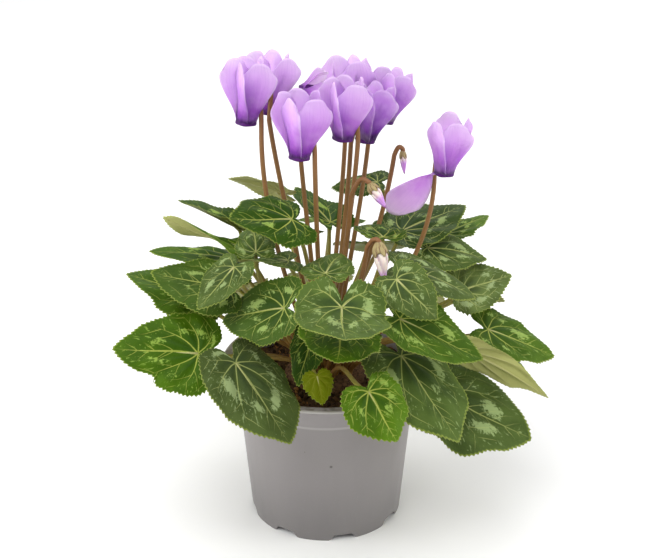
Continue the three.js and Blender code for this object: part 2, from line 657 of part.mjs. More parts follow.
// The tuber's round body, grown on all sides for the hollow that it lies in.
function tuberBody(grow = 0) {
  const r = TUBER_RADIUS + grow;
  return toSolid(lathed([
    [0, TUBER_BOTTOM - grow], [r * 0.55, TUBER_BOTTOM + 1 - grow], [r - 2, TUBER_BOTTOM + 5 - grow],
    [r, TUBER_BOTTOM + 10], [r - 1, TUBER_TOP - 2.5 + grow], [r - 3, TUBER_TOP + grow],
    [0, TUBER_TOP + grow],
  ], TUBER_SEGMENTS));
}

function tuberSolid(places) {
  const radius = PETIOLE_RADIUS + HOLE_CLEARANCE;
  let tuber = tuberBody();
  for (const place of places.values()) {
    const bottom = vec(place.x, place.y, STEM_FOOT - SOIL_GAP);
    tuber = tuber.subtract(stem([bottom, vec(place.x, place.y, TUBER_TOP + 3)], [radius, radius]));
  }
  return mainBody(tuber);
}

// The soil fills the pot, a little clear of its wall, to an uneven top.
function soilSolid() {
  const random = randomSource(11);
  const sectors = POT_SEGMENTS;
  const bottom = FLOOR_UNDERSIDE + WALL + SOIL_GAP;
  const neck = POT_HEIGHT - COLLAR_DEPTH - 0.5;
  const slope = (BODY_TOP_RADIUS - BASE_RADIUS) / (POT_HEIGHT - COLLAR_DEPTH);
  const flare = (RIM_RADIUS - LIP_WIDTH - BODY_TOP_RADIUS) / COLLAR_DEPTH;
  const inside = BASE_RADIUS - WALL - SOIL_GAP - 0.1;
  const neckRadius = inside + slope * neck;
  const rings = [
    { r: inside + slope * bottom, z: bottom, rough: 0 },
    { r: neckRadius, z: neck, rough: 0 },
    { r: neckRadius + flare * (SOIL_LEVEL - neck), z: SOIL_LEVEL - 0.6, rough: 0 },
    { r: SOIL_LUMP_RADIUS, z: SOIL_LEVEL + 0.3, rough: SOIL_LUMPS },
  ];
  const places = [0, 0, bottom];
  for (const ring of rings) {
    for (let k = 0; k < sectors; k += 1) {
      const angle = (2 * Math.PI * k) / sectors;
      const lift = ring.rough * (random() - 0.5) * 2;
      places.push(ring.r * Math.cos(angle), ring.r * Math.sin(angle), ring.z + lift);
    }
  }
  places.push(0, 0, SOIL_LEVEL + 1);
  const ringStart = (n) => 1 + n * sectors;
  const lastRing = ringStart(rings.length - 1);
  const middle = ringStart(rings.length);
  const index = [];
  for (let k = 0; k < sectors; k += 1) {
    const next = (k + 1) % sectors;
    index.push(0, ringStart(0) + next, ringStart(0) + k);
    for (let n = 0; n + 1 < rings.length; n += 1) {
      const a = ringStart(n) + k;
      const b = ringStart(n) + next;
      index.push(a, b, a + sectors, b, b + sectors, a + sectors);
    }
    index.push(lastRing + k, lastRing + next, middle);
  }
  const geometry = new THREE.BufferGeometry();
  geometry.setAttribute('position', new THREE.Float32BufferAttribute(places, 3));
  geometry.setIndex(index);
  return mainBody(toSolid(geometry).subtract(tuberBody(SOIL_GAP)));
}

function named(name, solid, look) {
  const material = new THREE.MeshStandardMaterial({ ...COLOURS[look], metalness: 0 });
  const mesh = new THREE.Mesh(toGeometry(solid), material);
  mesh.name = name;
  return mesh;
}

// A leaf that has no foot of its own rises from the foot of the leaf that it is joined to.
const plant = new THREE.Group();
const footWish = (name, [x, y, z], share) => (
  { name, x, y, reach: (Math.hypot(x, y) + Math.max(0, HIGH_HUB - z)) * share }
);
const roots = crownPlaces([
  ...LEAVES.filter(({ joins }) => !joins).map(({ name, hub }) => footWish(name, hub, 1)),
  ...FLOWERS.map(({ name, mouth }) => footWish(name, mouth, 0.6)),
  ...BUDS.map(({ name, neck }) => footWish(name, neck, 0.5)),
]);

plant.add(named('pot', potSolid(), 'pot'));
plant.add(named('soil', soilSolid(), 'soil'));
plant.add(named('tuber', tuberSolid(roots), 'tuber'));
for (const leaf of LEAVES.filter(({ joins }) => !joins)) {
  const root = roots.get(leaf.name);
  let solid = leafSolid(leaf, root);
  for (const other of LEAVES.filter(({ joins }) => joins === leaf.name)) {
    solid = solid.add(leafSolid(other, root));
  }
  plant.add(named(leaf.name, solid, 'leaf'));
}
for (const flower of FLOWERS) {
  const frame = flowerFrame(flower);
  const root = roots.get(flower.name);
  plant.add(named(`flower_${flower.name}`, corollaSolid(flower, frame, root), 'petal'));
  plant.add(named(`scape_${flower.name}`, scapeSolid(flower, frame, root), 'scape'));
}
for (const bud of BUDS) {
  plant.add(named(`bud_${bud.name}`, budPetalSolid(bud), 'bud'));
  plant.add(named(`bud_stalk_${bud.name}`, budStalkSolid(bud, roots.get(bud.name)), 'scape'));
}

export default plant;
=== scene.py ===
# The looks of a potted cyclamen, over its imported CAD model. +Z up. Shapes are worked out in
# millimetres and stored in metres. -Y is the side that the photograph shows.

import random
from math import asin, atan2, cos, degrees, exp, hypot, pi, radians, sin, sqrt, tau
from types import SimpleNamespace

import bpy
from mathutils import Matrix, Quaternion, Vector, noise


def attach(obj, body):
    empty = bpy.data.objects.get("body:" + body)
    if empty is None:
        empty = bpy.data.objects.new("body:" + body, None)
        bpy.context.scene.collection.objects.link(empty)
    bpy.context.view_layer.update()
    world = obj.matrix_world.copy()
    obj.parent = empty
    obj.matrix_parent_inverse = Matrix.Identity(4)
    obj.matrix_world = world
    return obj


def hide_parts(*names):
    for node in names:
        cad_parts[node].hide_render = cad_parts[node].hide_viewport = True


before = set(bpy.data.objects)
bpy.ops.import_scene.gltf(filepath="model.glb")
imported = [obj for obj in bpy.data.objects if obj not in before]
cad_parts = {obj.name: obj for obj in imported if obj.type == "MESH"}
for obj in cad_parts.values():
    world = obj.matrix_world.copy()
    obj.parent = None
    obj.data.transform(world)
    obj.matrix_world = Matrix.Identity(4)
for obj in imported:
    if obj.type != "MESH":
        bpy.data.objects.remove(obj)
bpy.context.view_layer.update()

MM = 0.001
UP = Vector((0, 0, 1))

# Camera: where it stands, how far it looks down, and its focal length in pixels of the photo.
EYE = (1.5, -643.3, 422.5)
LOOKS_DOWN = 24.7
FOCAL_PIXELS = 1450
PHOTO_WIDTH = 658
SENSOR = 36

# Pot
POT_HEIGHT = 82
RIM_RADIUS = 52.5
LIP_WIDTH = 4.4
LIP_ROUND = 0.6
COLLAR_DEPTH = 14
BODY_TOP_RADIUS = 44.4
BASE_RADIUS = 38.3
WALL = 1.4
FLOOR_UNDERSIDE = 4
CENTRE_PAD_RADIUS = 14
FOOT_NOTCHES = 8
NOTCH_WIDTH = 11
NOTCH_HEIGHT = 3.2
NOTCH_TURN = 13
NOTCH_EDGE = 4
DRAIN_HOLES = 6
DRAIN_RADIUS = 3.5
DRAIN_CIRCLE = 25
DRAIN_CUT = 12
SHARP_EDGE = 35
NICK = (2.5, -42.3, 45.7)
POT_SEGMENTS = 192

# Soil and tuber
SOIL_LEVEL = 74.5
TUBER_TOP = 78.5
TUBER_BOTTOM = 62
TUBER_RADIUS = 21
TUBER_SEGMENTS = 96
SOIL_LUMPS = [(1.6, 11), (1.1, 4), (0.6, 1.7)]
SOIL_RINGS = 26
SOIL_SEGMENTS = 150
CRUMBS = 420
CRUMB_SEED = 7
CRUMB_SIZES = (0.5, 1.5)
CRUMB_RINGS = 4
CRUMB_SIDES = 6

# Feet of the stems on the tuber's crown
STEM_FOOT = 73.5
CROWN_PITCH = 3.4
CROWN_RADIUS = 16.2
CROWN_FOOT_LIMIT = 14
CROWN_SHARE = 0.12
HIGH_HUB = 150

# Leaves
BLADE_THICKNESS = 0.45
SOLID_BLADE = 0.8
PETIOLE_RADIUS = 1.2
HUB_RADIUS = 1.0
TOOTH_PITCH = 2.2
TOOTH_HEIGHT = 0.48
BLADE_RINGS = 20
VEIN_LIFT = 0.09
RIM_INSET = 0.7

# Flowers and buds
PETAL_THICKNESS = 0.4
SCAPE_RADIUS = 1.15
THROAT_RADIUS = 4.7
THROAT_HEIGHT = 7.6
CALYX_RADIUS = 2.4


def leaf(number, hub, heading, dip, roll, length, width, **shape):
    """One leaf: its hub, how its midrib points, its roll and size, and how its blade is bent.

    look holds its tone from bright green to blue-grey, its depth from light to dark, and how
    much of the pale pattern it has. notch is a dip in the rim: angle from the tip, width, depth.
    """
    usual = dict(droop=0.22, cup=0.14, fold=0.06, lobe=0, wave=0.03, twist=0, full=0,
                 bow=(0, 0, 0), rise=0.75, joins=None, look=(0.4, 0.5, 0.6), notch=(0, 1, 0))
    return SimpleNamespace(number=number, hub=Vector(hub), heading=heading, dip=dip, roll=roll,
                           length=length, width=width, **{**usual, **shape})


LEAVES = [
    leaf(1, (-60, -39, 106), 176, -3, 50, 42, 43, droop=0.12, notch=(31, 11, 0.15),
         look=(-0.05, 0.55, 0.9)),
    leaf(2, (-59, -5, 118), 173, -18, 10, 41, 41, droop=0.05, look=(0.1, 0.6, 0.6)),
    leaf(3, (-46, -31, 136), 170, -10, 20, 38, 39, droop=0.08, bow=(-3, 6, 0),
         look=(0.4, 0.7, 0.5)),
    leaf(4, (-42, -38, 150), 230, 24, 5, 28, 24, droop=0.12, bow=(-14, -8, 0),
         look=(0.85, 0.5, 0.7)),
    leaf(5, (-41, -58, 111), 315, 35, 8, 46, 47, droop=0.06, full=0.9, look=(1.25, 0.62, 0.8)),
    leaf(6, (-19, -52, 136), 160, 14, 38, 36, 37, lobe=0.2, bow=(-20, 0, 2),
         look=(0.45, 0.75, 0.5)),
    leaf(7, (7, -72, 146), 271, -4, 5, 42, 44, droop=0, lobe=1, full=0.3, bow=(4, 0, 3),
         look=(0.7, 0.45, 0.9)),
    leaf(8, (7, -67, 133), 266, 0, 8, 36, 40, droop=0, lobe=0.2, bow=(5, 0, -5),
         look=(0, 0.5, 0.4)),
    leaf(9, (-6, -37, 115), 240, 50, 0, 26, 22, droop=0.13, bow=(-4, 0, 0), look=(0.1, 1, 0.3)),
    leaf(10, (-4, -54, 102), 292, 55, 0, 14, 17, droop=0.08, full=0.2, joins=9,
         look=(-0.8, 0.1, 0)),
    leaf(11, (19, -83, 110), 317, 47, -12, 26, 34, droop=0.04, full=0.5, bow=(5, 0, -4),
         look=(0.05, 0.25, 0.9)),
    leaf(12, (35, -49, 110), 310, 32, 6, 49, 51, droop=0.1, lobe=-0.2, full=0.7,
         look=(0.75, 0.5, 1)),
    leaf(13, (34, -51, 130), 356, 26, -16, 44, 43, droop=0.06, cup=-0.1, look=(0.2, 0.55, 0.8)),
    leaf(14, (32, -49, 149), 320, 28, -35, 27, 27, droop=0.13, bow=(0, -3, 0),
         look=(0.85, 0.5, 0.6)),
    leaf(15, (37, -25, 144), 2, 16, -5, 38, 40, cup=0.17, bow=(3, 7, 0), look=(0.9, 0.65, 0.9)),
    leaf(16, (38, 20, 144), 32, -10, -5, 40, 41, droop=0.09, cup=0.1, look=(0.6, 1, 0.7)),
    leaf(17, (50, 12, 138), 14, 8, -18, 34, 33, look=(0.8, 0.6, 0.6)),
    leaf(18, (62, 42, 133), 30, -14, 5, 27, 26, droop=0.1, joins=17, look=(0.2, 0.4, 0.6)),
    leaf(19, (67, 7, 117), 15, -14, -34, 28, 31, droop=0.1, look=(1, -0.5, 0.8)),
    leaf(20, (69, 22, 109), 12, 12, 50, 24, 26, droop=0.13, joins=19, look=(0.3, 0.4, 0.6)),
    leaf(21, (81, 4, 97), 358, 18, -15, 38, 39, droop=0.16, look=(0.3, 0.5, 0.8)),
    leaf(22, (81, 5, 85), 355, 30, -8, 31, 32, droop=0.18, joins=21, look=(0.3, 0.65, 0.6)),
    leaf(23, (55, -36, 83), 345, 24, -14, 49, 56, droop=0, full=0.6, bow=(0, 0, 3), rise=0.1,
         look=(0.85, 0.6, 0.8)),
    leaf(24, (-22, 38, 157), 168, -16, -42, 29, 28, droop=0.11, look=(0.2, 0, 0.6)),
    leaf(25, (2, 31, 144), 128, -20, -17, 31, 35, droop=0.05, cup=-0.24, look=(0, 1, 0.6)),
    leaf(26, (-16, -19, 166), 214, -12, 22, 35, 39, droop=0, bow=(4, 6, 0),
         look=(0.1, 1.15, 0.45)),
    leaf(27, (-42, 18, 146), 169, -24, -16, 35, 34, droop=0.05, cup=-0.28, look=(0.1, 1.2, 0.3)),
    leaf(28, (-41, 1, 143), 179, -20, -6, 41, 36, droop=0, twist=0.9, joins=27,
         look=(0.15, 0.2, 0.3)),
    leaf(29, (-46, 19, 129), 180, -10, -8, 43, 43, droop=0.1, look=(-0.05, 0.65, 0.5)),
    leaf(30, (-33, -16, 148), 96, -20, -4, 23, 21, droop=0.17, look=(0.6, 0.45, 0.6)),
    leaf(31, (-18, -21, 146), 197, -8, -2, 25, 27, droop=0.06, twist=0.6, joins=30,
         look=(0.6, 0.5, 0.6)),
    leaf(32, (0, -38, 147), 75, -4, 0, 28, 26, droop=0.18, bow=(6, 3, 0), look=(0.6, 0.4, 0.4)),
    leaf(33, (27, -12, 154), 110, -2, -8, 22, 28, droop=0.16, cup=-0.12, bow=(-1, 6, 0),
         look=(0.2, 0.9, 0.6)),
    leaf(34, (26, 53, 157), 157, 8, 10, 27, 28, droop=0.16, look=(0.5, 1, 0.4)),
    leaf(35, (56, 52, 119), 42, 20, 0, 40, 41, look=(0.5, 0.6, 0.6)),
    leaf(36, (22, 70, 116), 78, 22, 5, 41, 42, look=(0, 1, 0.3)),
    leaf(37, (-20, 70, 122), 108, 20, -5, 40, 42, look=(0.7, 0.7, 0.6)),
    leaf(38, (-56, 44, 113), 146, 22, 5, 42, 42, look=(0.3, 0.4, 0.6)),
    leaf(39, (44, 58, 96), 58, 34, 0, 38, 40, joins=35, look=(0.1, 0.45, 0.6)),
    leaf(40, (-4, 70, 97), 94, 34, 0, 40, 40, joins=36, look=(0.6, 0.7, 0.6)),
    leaf(41, (-46, 56, 95), 128, 34, 0, 38, 38, joins=38, look=(0.8, 0.6, 0.6)),
    leaf(42, (2, 58, 134), 88, 14, 0, 38, 39, joins=37, look=(0.35, 0.45, 0.6)),
    leaf(43, (70, -18, 96), 354, 24, 78, 44, 20, bow=(0, 0, 6), rise=0.3, look=(0.3, 0.25, 0.6)),
]


def flower(name, mouth, lean, lean_to, stem_at, size, opening, **extra):
    """One flower: the middle of its mouth, how it leans, where its stem stands, how it opens.

    depth is how dark its violet is, and grey how dull.
    """
    usual = dict(bow=(0, 0, 0), hanging=None, depth=0.4, grey=0)
    return SimpleNamespace(name=name, mouth=Vector(mouth), lean=lean, lean_to=lean_to,
                           stem_at=stem_at, size=size, opening=opening, **{**usual, **extra})


FLOWERS = [
    flower("a", (-37, 0, 207), 5, 20, 0, 0.9, 0.6, bow=(-5, -4, 0), depth=0.4),
    flower("b", (-28, 23, 205), 6, 0, 280, 0.85, 0.7, bow=(1, 6, 0), depth=0.25),
    flower("c", (-12, -17, 196), 4, 20, 0, 0.9, 1.0, depth=0.5),
    flower("d", (-11, 20, 214), 80, 10, 90, 0.42, 0.7, depth=0, grey=0.2),
    flower("e", (8, -2, 200), 4, 0, 350, 0.85, 0.75, depth=0.5),
    flower("f", (19, 16, 193), 8, 0, 200, 0.82, 0.65, depth=1.35),
    flower("g", (11, 45, 193), 2, 90, 260, 0.95, 0.75, depth=0.4),
    flower("h", (29, 42, 194), 12, 0, 200, 0.78, 0.55, depth=0.9),
    flower("i", (56, 0, 182), 2, 0, 125, 0.83, 1.0, hanging=0, bow=(8, -7, 0), depth=0.55),
]


def bud(name, neck, top, tip, radius, arch, violet):
    """One bud: where its stem hooks over, its ends, its radius and how far its tip is tinted."""
    return SimpleNamespace(name=name, neck=Vector(neck), top=Vector(top), tip=Vector(tip),
                           radius=radius, arch=arch, violet=violet)


BUDS = [
    bud("j", (33, 18, 184), (37, 19, 187), (38, 16, 175), 1.8, 2.5, 1.5),
    bud("k", (12, -9, 174), (20, -13, 182), (28, -18, 171), 2.8, 4.5, 1.2),
    bud("l", (19, -32, 157), (24, -35, 162), (27, -41, 144), 3.6, 2, 0.55),
]


# Sums

def clamp(value, low=0.0, high=1.0):
    return max(low, min(high, value))


def smooth(low, high, value):
    """0 below low, 1 above high, and an even S between them."""
    t = clamp((value - low) / (high - low))
    return t * t * (3 - 2 * t)


def curve_through(values, at, stations=None):
    """Reads the rounded curve through values that stand at 0, 1, 2 ... or at given stations."""
    stations = stations or range(len(values))
    last = len(stations) - 1
    i = 0
    while i < last - 1 and at > stations[i + 1]:
        i += 1
    gap = stations[i + 1] - stations[i]

    def slope(k):
        before, after = max(k - 1, 0), min(k + 1, last)
        return (values[after] - values[before]) / (stations[after] - stations[before])

    t = (at - stations[i]) / gap
    return ((2 * t**3 - 3 * t**2 + 1) * values[i] + (t**3 - 2 * t**2 + t) * gap * slope(i)
            + (3 * t**2 - 2 * t**3) * values[i + 1] + (t**3 - t**2) * gap * slope(i + 1))


def bezier(a, b, c, d, t):
    s = 1 - t
    return a * s**3 + b * (3 * s * s * t) + c * (3 * s * t * t) + d * t**3


def through(points, steps):
    """A rounded line through points, with steps places for each span."""
    return [Vector([curve_through([p[axis] for p in points], i / steps) for axis in range(3)])
            for i in range(steps * (len(points) - 1) + 1)]


def polar(angle, reach=1.0):
    """The place at an angle in degrees round the middle and at a reach from it."""
    return reach * cos(radians(angle)), reach * sin(radians(angle))


def ring(direction, count, again=0):
    """Angles and rays at even steps round a direction, and again for the seam of a sheet."""
    side = direction.orthogonal().normalized()
    other = direction.cross(side)
    for k in range(count + again):
        angle = tau * k / count
        yield angle, side * cos(angle) + other * sin(angle)


# Meshes

NOTHING = (0, 0, 0)


def put(name, data):
    """Places something new in the scene."""
    made = bpy.data.objects.new(name, data)
    bpy.context.scene.collection.objects.link(made)
    return made


class Piece:
    """Points, faces and the values at the points of one object, gathered part by part."""

    def __init__(self, name, *materials):
        self.name, self.materials = name, materials
        self.points, self.faces, self.finish = [], [], []
        self.values = {"where": [], "look": [], "marks": []}

    def add(self, points, faces, where=None, look=NOTHING, material=0, marks=None):
        start, count = len(self.points), len(points)
        self.points += [p * MM for p in points]
        self.faces += [[start + i for i in face] for face in faces]
        self.finish += [material] * len(faces)
        for name, given in (("where", where), ("look", [look] * count), ("marks", marks)):
            self.values[name] += given or [NOTHING] * count

    def make(self, *nodes, slot=None):
        mesh = bpy.data.meshes.new(self.name)
        mesh.from_pydata(self.points, [], self.faces)
        for material in self.materials:
            mesh.materials.append(material)
        mesh.polygons.foreach_set("material_index", self.finish)
        mesh.shade_smooth()
        for name, values in self.values.items():
            layer = mesh.attributes.new(name, "FLOAT_VECTOR", "POINT")
            layer.data.foreach_set("vector", [float(v) for value in values for v in value])
        mesh.update()
        made = put(self.name, mesh)
        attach(made, "root")
        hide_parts(*nodes)
        return made


def ring_faces(rings, sides):
    """Faces of a closed body of rings, with a flat end on its first and its last ring."""
    faces = []
    for start in range(0, (rings - 1) * sides, sides):
        for k in range(sides):
            a, b = start + k, start + (k + 1) % sides
            faces.append((a, b, b + sides, a + sides))
    count = rings * sides
    return faces + [tuple(reversed(range(sides))), tuple(range(count - sides, count))]


def tube(points, radii, sides=8):
    """A closed round tube through points. The values run along it and round it."""
    side = Vector((1, 0, 0))
    places, where = [], []
    last = len(points) - 1
    for i, point in enumerate(points):
        along = (points[min(i + 1, last)] - points[max(i - 1, 0)]).normalized()
        side = (side - along * side.dot(along)).normalized()
        other = along.cross(side)
        for k in range(sides):
            angle = tau * k / sides
            places.append(point + (side * cos(angle) + other * sin(angle)) * radii[i])
            where.append((cos(angle), sin(angle), i / last))
    return places, ring_faces(last + 1, sides), where


def sheet_faces(rows, columns):
    """Faces of a closed thin sheet: its outer grid, its inner grid and the strip round them."""
    faces = []
    count = rows * columns
    for i in range(rows - 1):
        for k in range(columns - 1):
            a = i * columns + k
            b, c, d = a + 1, a + columns + 1, a + columns
            faces += [(a, b, c, d), (count + a, count + d, count + c, count + b)]
    rim = [*range(columns), *range(2 * columns - 1, count, columns),
           *range(count - 2, count - columns - 1, -1), *range(count - 2 * columns, 0, -columns)]
    return faces + [(a, count + a, count + b, b) for a, b in zip(rim, rim[1:] + rim[:1])]


def turned(profile, segments, shape):
    """A body turned round +Z from a profile whose ends lie on the axis, with shape applied."""
    inner = profile[1:-1]
    places = [Vector((0, 0, profile[0][1]))]
    for k in range(segments):
        angle = tau * k / segments
        for radius, height in inner:
            radius, height = shape(radius, height, angle)
            places.append(Vector((radius * cos(angle), radius * sin(angle), height)))
    places.append(Vector((0, 0, profile[-1][1])))
    count = len(inner)
    faces = []
    for k in range(segments):
        a, b = 1 + k * count, 1 + (k + 1) % segments * count
        faces.append((0, b, a))
        faces += [(a + i, b + i, b + i + 1, a + i + 1) for i in range(count - 1)]
        faces.append((a + count - 1, b + count - 1, len(places) - 1))
    return places, faces


# Materials

def linear(value):
    """A part of a colour, 0 to 255 as it looks on a screen, as the number that nodes take."""
    value /= 255
    return value / 12.92 if value <= 0.04045 else ((value + 0.055) / 1.055) ** 2.4


class Value:
    """What a node gives out, and the sums that can be done on it with more nodes."""

    def __init__(self, graph, socket):
        self.graph, self.socket = graph, socket

    def __add__(self, other):
        return self.graph.math("ADD", self, other)

    def __sub__(self, other):
        return self.graph.math("SUBTRACT", self, other)

    def __rsub__(self, other):
        return self.graph.math("SUBTRACT", other, self)

    def __mul__(self, other):
        return self.graph.math("MULTIPLY", self, other)

    def __abs__(self):
        return self.graph.math("ABSOLUTE", self)

    __radd__, __rmul__ = __add__, __mul__

    def step(self, low, high, start=0, end=1):
        """An even S from start to end while the value goes from low to high."""
        given = dict(enumerate((self, low, high, start, end)))
        return self.graph.node("MapRange", given, interpolation_type="SMOOTHSTEP")


class Graph:
    """Short ways to add the nodes of one material, whose paint is laid on coat by coat."""

    def __init__(self, name, roughness, specular, **shader):
        self.material = bpy.data.materials.new(name)
        self.material.use_nodes = True
        self.tree = self.material.node_tree
        self.shader = self.tree.nodes["Principled BSDF"].inputs
        shader.update(Roughness=roughness, Specular_IOR_Level=specular)
        for socket, value in shader.items():
            self.shader[socket.replace("_", " ")].default_value = value
        self.place = self.node("TexCoord", output="Object")
        self.paint = None

    def feed(self, socket, value):
        """Joins or sets an input. A colour of three parts is as it looks on a screen."""
        if isinstance(value, Value):
            self.tree.links.new(value.socket, socket)
        elif socket.type == "RGBA" and len(value) == 3:
            socket.default_value = (*map(linear, value), 1)
        else:
            socket.default_value = value

    def node(self, kind, given=None, output=0, **settings):
        """Adds a node, feeds its inputs with what is given, and hands on one output."""
        made = self.tree.nodes.new("ShaderNode" + kind)
        for key, value in settings.items():
            setattr(made, key, value)
        for socket, value in (given or {}).items():
            self.feed(made.inputs[socket], value)
        return Value(self, made.outputs[output])

    def math(self, operation, *values):
        return self.node("Math", dict(enumerate(values)), operation=operation)

    def parts(self, vector):
        """The three numbers of a vector."""
        first = self.node("SeparateXYZ", {0: vector})
        return [Value(self, socket) for socket in first.socket.node.outputs]

    def stored(self, name):
        """The three numbers of a value that is stored at the points."""
        return self.parts(self.node("Attribute", output="Vector", attribute_name=name))

    def noise_over(self, vector, scale, detail, roughness=0.5):
        given = {"Vector": vector, "Scale": scale, "Detail": detail, "Roughness": roughness}
        return self.node("TexNoise", given, "Fac")

    def noise_along(self, places, scale, detail, roughness=0.5):
        """Noise over three values, such as the turn and the reach on a leaf."""
        vector = self.node("CombineXYZ", dict(enumerate(places)))
        return self.noise_over(vector, scale, detail, roughness)

    def noise(self, size, detail=2, stretch=None, roughness=0.5):
        """Noise with features of about size millimetres, along stretched axes if given."""
        vector = self.place
        if stretch:
            vector = self.node("Mapping", {"Vector": vector, "Scale": stretch})
        return self.noise_over(vector, 1 / (size * MM), detail, roughness)

    def mix(self, share, first, second, blend="MIX"):
        return self.node("Mix", {0: share, 6: first, 7: second}, 2, data_type="RGBA",
                         blend_type=blend)

    def coat(self, share, colour):
        """Lays a colour over the paint so far."""
        self.paint = self.mix(share, self.paint, colour)

    def done(self, height=None, depth=0):
        """The finished material, with height from 0 to 1 as relief of depth millimetres."""
        self.feed(self.shader["Base Color"], self.paint)
        if height:
            bump = self.node("Bump", {"Distance": depth * MM, "Height": height})
            self.feed(self.shader["Normal"], bump)
        return self.material


def leaf_material():
    """Dark top with pale veins and a soft, feathery pale pattern, and an olive underside.

    where holds the place on a blade of length 1 and the share of the way from hub to rim, which
    is raised by 2 on the underside. look holds tone, depth and silver, and marks the strength
    of the vein, the pale pattern and the painted shade midway between veins.
    """
    g = Graph("cyclamen_leaf", 0.5, 0.09)
    x, y, share = g.stored("where")
    tone, depth, silver = g.stored("look")
    vein, pale, midway_shade = g.stored("marks")
    under = g.math("GREATER_THAN", share, 1.5)
    share = share - under * 2
    turn = g.math("ARCTAN2", y, x)
    kind = tone + depth
    streaks = g.noise_along((turn * 9, share * 3, kind * 9), 1.8, 4, 0.65) - 0.5
    specks = g.noise(1.5, 3, roughness=0.65) - 0.5
    torn = streaks * 1.5 + specks * 1.5
    pattern = (pale * (silver * 0.5 + 0.6) + torn).step(0.38, 0.7) * pale.step(0.08, 0.35)
    flecks = (streaks + specks * 1.6).step(0.25, 0.36)
    flecks = flecks * (share.step(0.5, 0.68) * share.step(0.98, 0.92))
    pattern = g.math("MAXIMUM", pattern, flecks * (silver * 0.8))
    strokes = g.noise_along((turn * 24, share * 7, kind * 5), 1, 2).step(0.62, 0.7)
    strokes = strokes * (share.step(0.42, 0.6) * share.step(0.97, 0.88))
    pattern = g.math("MAXIMUM", pattern, strokes * (silver * 0.5 + 0.25))

    light = g.mix(tone, (88, 124, 12), (102, 120, 62))
    dark = g.mix(tone, (30, 60, 2), (40, 54, 22))
    g.paint = g.mix(depth, light, dark)
    g.coat(g.noise(10, 3).step(0.35, 0.7) * 0.6, dark)
    # Darker towards the hub: partly the leaf's own dark middle, and partly painted shade midway
    # between the veins.
    g.coat(share.step(0.75, 0.15) * (midway_shade * 0.5 + 0.2),
           g.mix(tone, (28, 62, 4), (40, 54, 36)))
    g.coat(share.step(0.5, 1) * 0.08, light)
    g.coat(g.noise(0.8) * 0.18, light)
    g.coat(pattern * 0.72, g.mix(tone, (152, 180, 78), (158, 176, 122)))
    vein = vein * (g.noise(1.4) * 0.8 + 0.6)
    g.coat(vein * 0.8, g.mix(tone, (180, 188, 84), (170, 178, 108)))
    young = tone.step(-0.1, -0.6)
    g.coat(young, g.mix(vein * 0.5, (104, 116, 8), (150, 150, 50)))
    back = g.mix(depth, (198, 198, 128), (112, 120, 56))
    back = g.mix(g.noise(10) * 0.6, back, (144, 148, 82))
    g.coat(under, g.mix(vein * 0.6, back, (190, 188, 132)))
    g.coat(share.step(0.97, 0.992) * 0.55, (150, 164, 70))
    g.feed(g.shader["Roughness"], g.noise(3) * 0.2 + 0.42)
    return g.done(g.noise(0.7) * 0.3 + specks * 0.2, 0.3)


def petiole_material():
    """Ochre at the foot to yellow-green at the hub, with fine streaks along it."""
    g = Graph("petiole_skin", 0.45, 0.4)
    along = g.stored("where")[2]
    streaks = g.noise(1.2, 3, stretch=(1, 1, 0.15))
    g.paint = g.mix(along.step(0.1, 0.85), (150, 112, 58), (150, 152, 66))
    g.coat(streaks * 0.6, (110, 74, 34))
    return g.done(streaks, 0.12)


def scape_material():
    """Red-brown flower stems, ochre lower down, with short hairs as fine grain."""
    g = Graph("flower_stem", 0.5, 0.35)
    along = g.stored("where")[2]
    streaks = g.noise(1.4, 3, stretch=(1, 1, 0.12))
    grain = g.noise(0.5)
    g.paint = g.mix(along.step(0.15, 0.75), (128, 94, 30), (132, 84, 44))
    g.coat(streaks * 0.6, (92, 62, 26))
    g.coat(grain * 0.25, (190, 150, 110))
    return g.done(streaks * 0.6 + grain * 0.4, 0.12)


def petal_material():
    """Dark violet at the mouth, soon lilac, and pale at the rounded tips, with faint long veins.

    where holds the place across and along a petal, and 1 on its inside. look holds how dark
    and how grey its violet is.
    """
    g = Graph("cyclamen_petal", 0.6, 0.15, Sheen_Weight=0.1, Subsurface_Weight=0.55,
              Subsurface_Scale=0.006, Subsurface_Radius=(1.0, 0.7, 1.0))
    across, along, inside = g.stored("where")
    depth, grey, _ = g.stored("look")
    sway = along + (g.noise(6) - 0.5) * 0.16 - depth * 0.1
    g.paint = g.mix(sway.step(0, 0.12), (72, 12, 98), (130, 42, 172))
    g.coat(sway.step(0.08, 0.34), (192, 106, 232))
    g.coat(sway.step(0.26, 0.9), (230, 176, 246))
    g.coat(abs(across).step(0.8, 1) * (along * 0.4), (236, 196, 248))
    g.coat(depth * 0.7, g.mix(1, g.paint, (176, 132, 202), blend="MULTIPLY"))
    veins = g.noise_along((across * 11, along * 1.6, depth * 7), 1.6, 3).step(0.4, 0.7)
    g.coat(veins * 0.16, (152, 84, 204))
    g.coat(g.noise(9).step(0.4, 0.7) * 0.2, (232, 186, 246))
    g.coat(inside * 0.25, (208, 146, 238))
    g.coat(grey * 0.55, (160, 132, 168))
    return g.done(veins * 0.5 + g.noise(0.6) * 0.25, 0.1)


def mouth_material():
    """The dark ring of the mouth with the brownish inside of the throat."""
    g = Graph("flower_mouth", 0.55, 0.3)
    around, _, up = g.stored("where")
    g.paint = g.mix(g.noise(1.2), (58, 8, 84), (96, 26, 122))
    inner = g.mix(g.noise(0.8), (120, 76, 52), (164, 120, 92))
    g.coat(around.step(0.62, 0.45), inner)
    return g.done(g.noise(0.9) + up, 0.1)


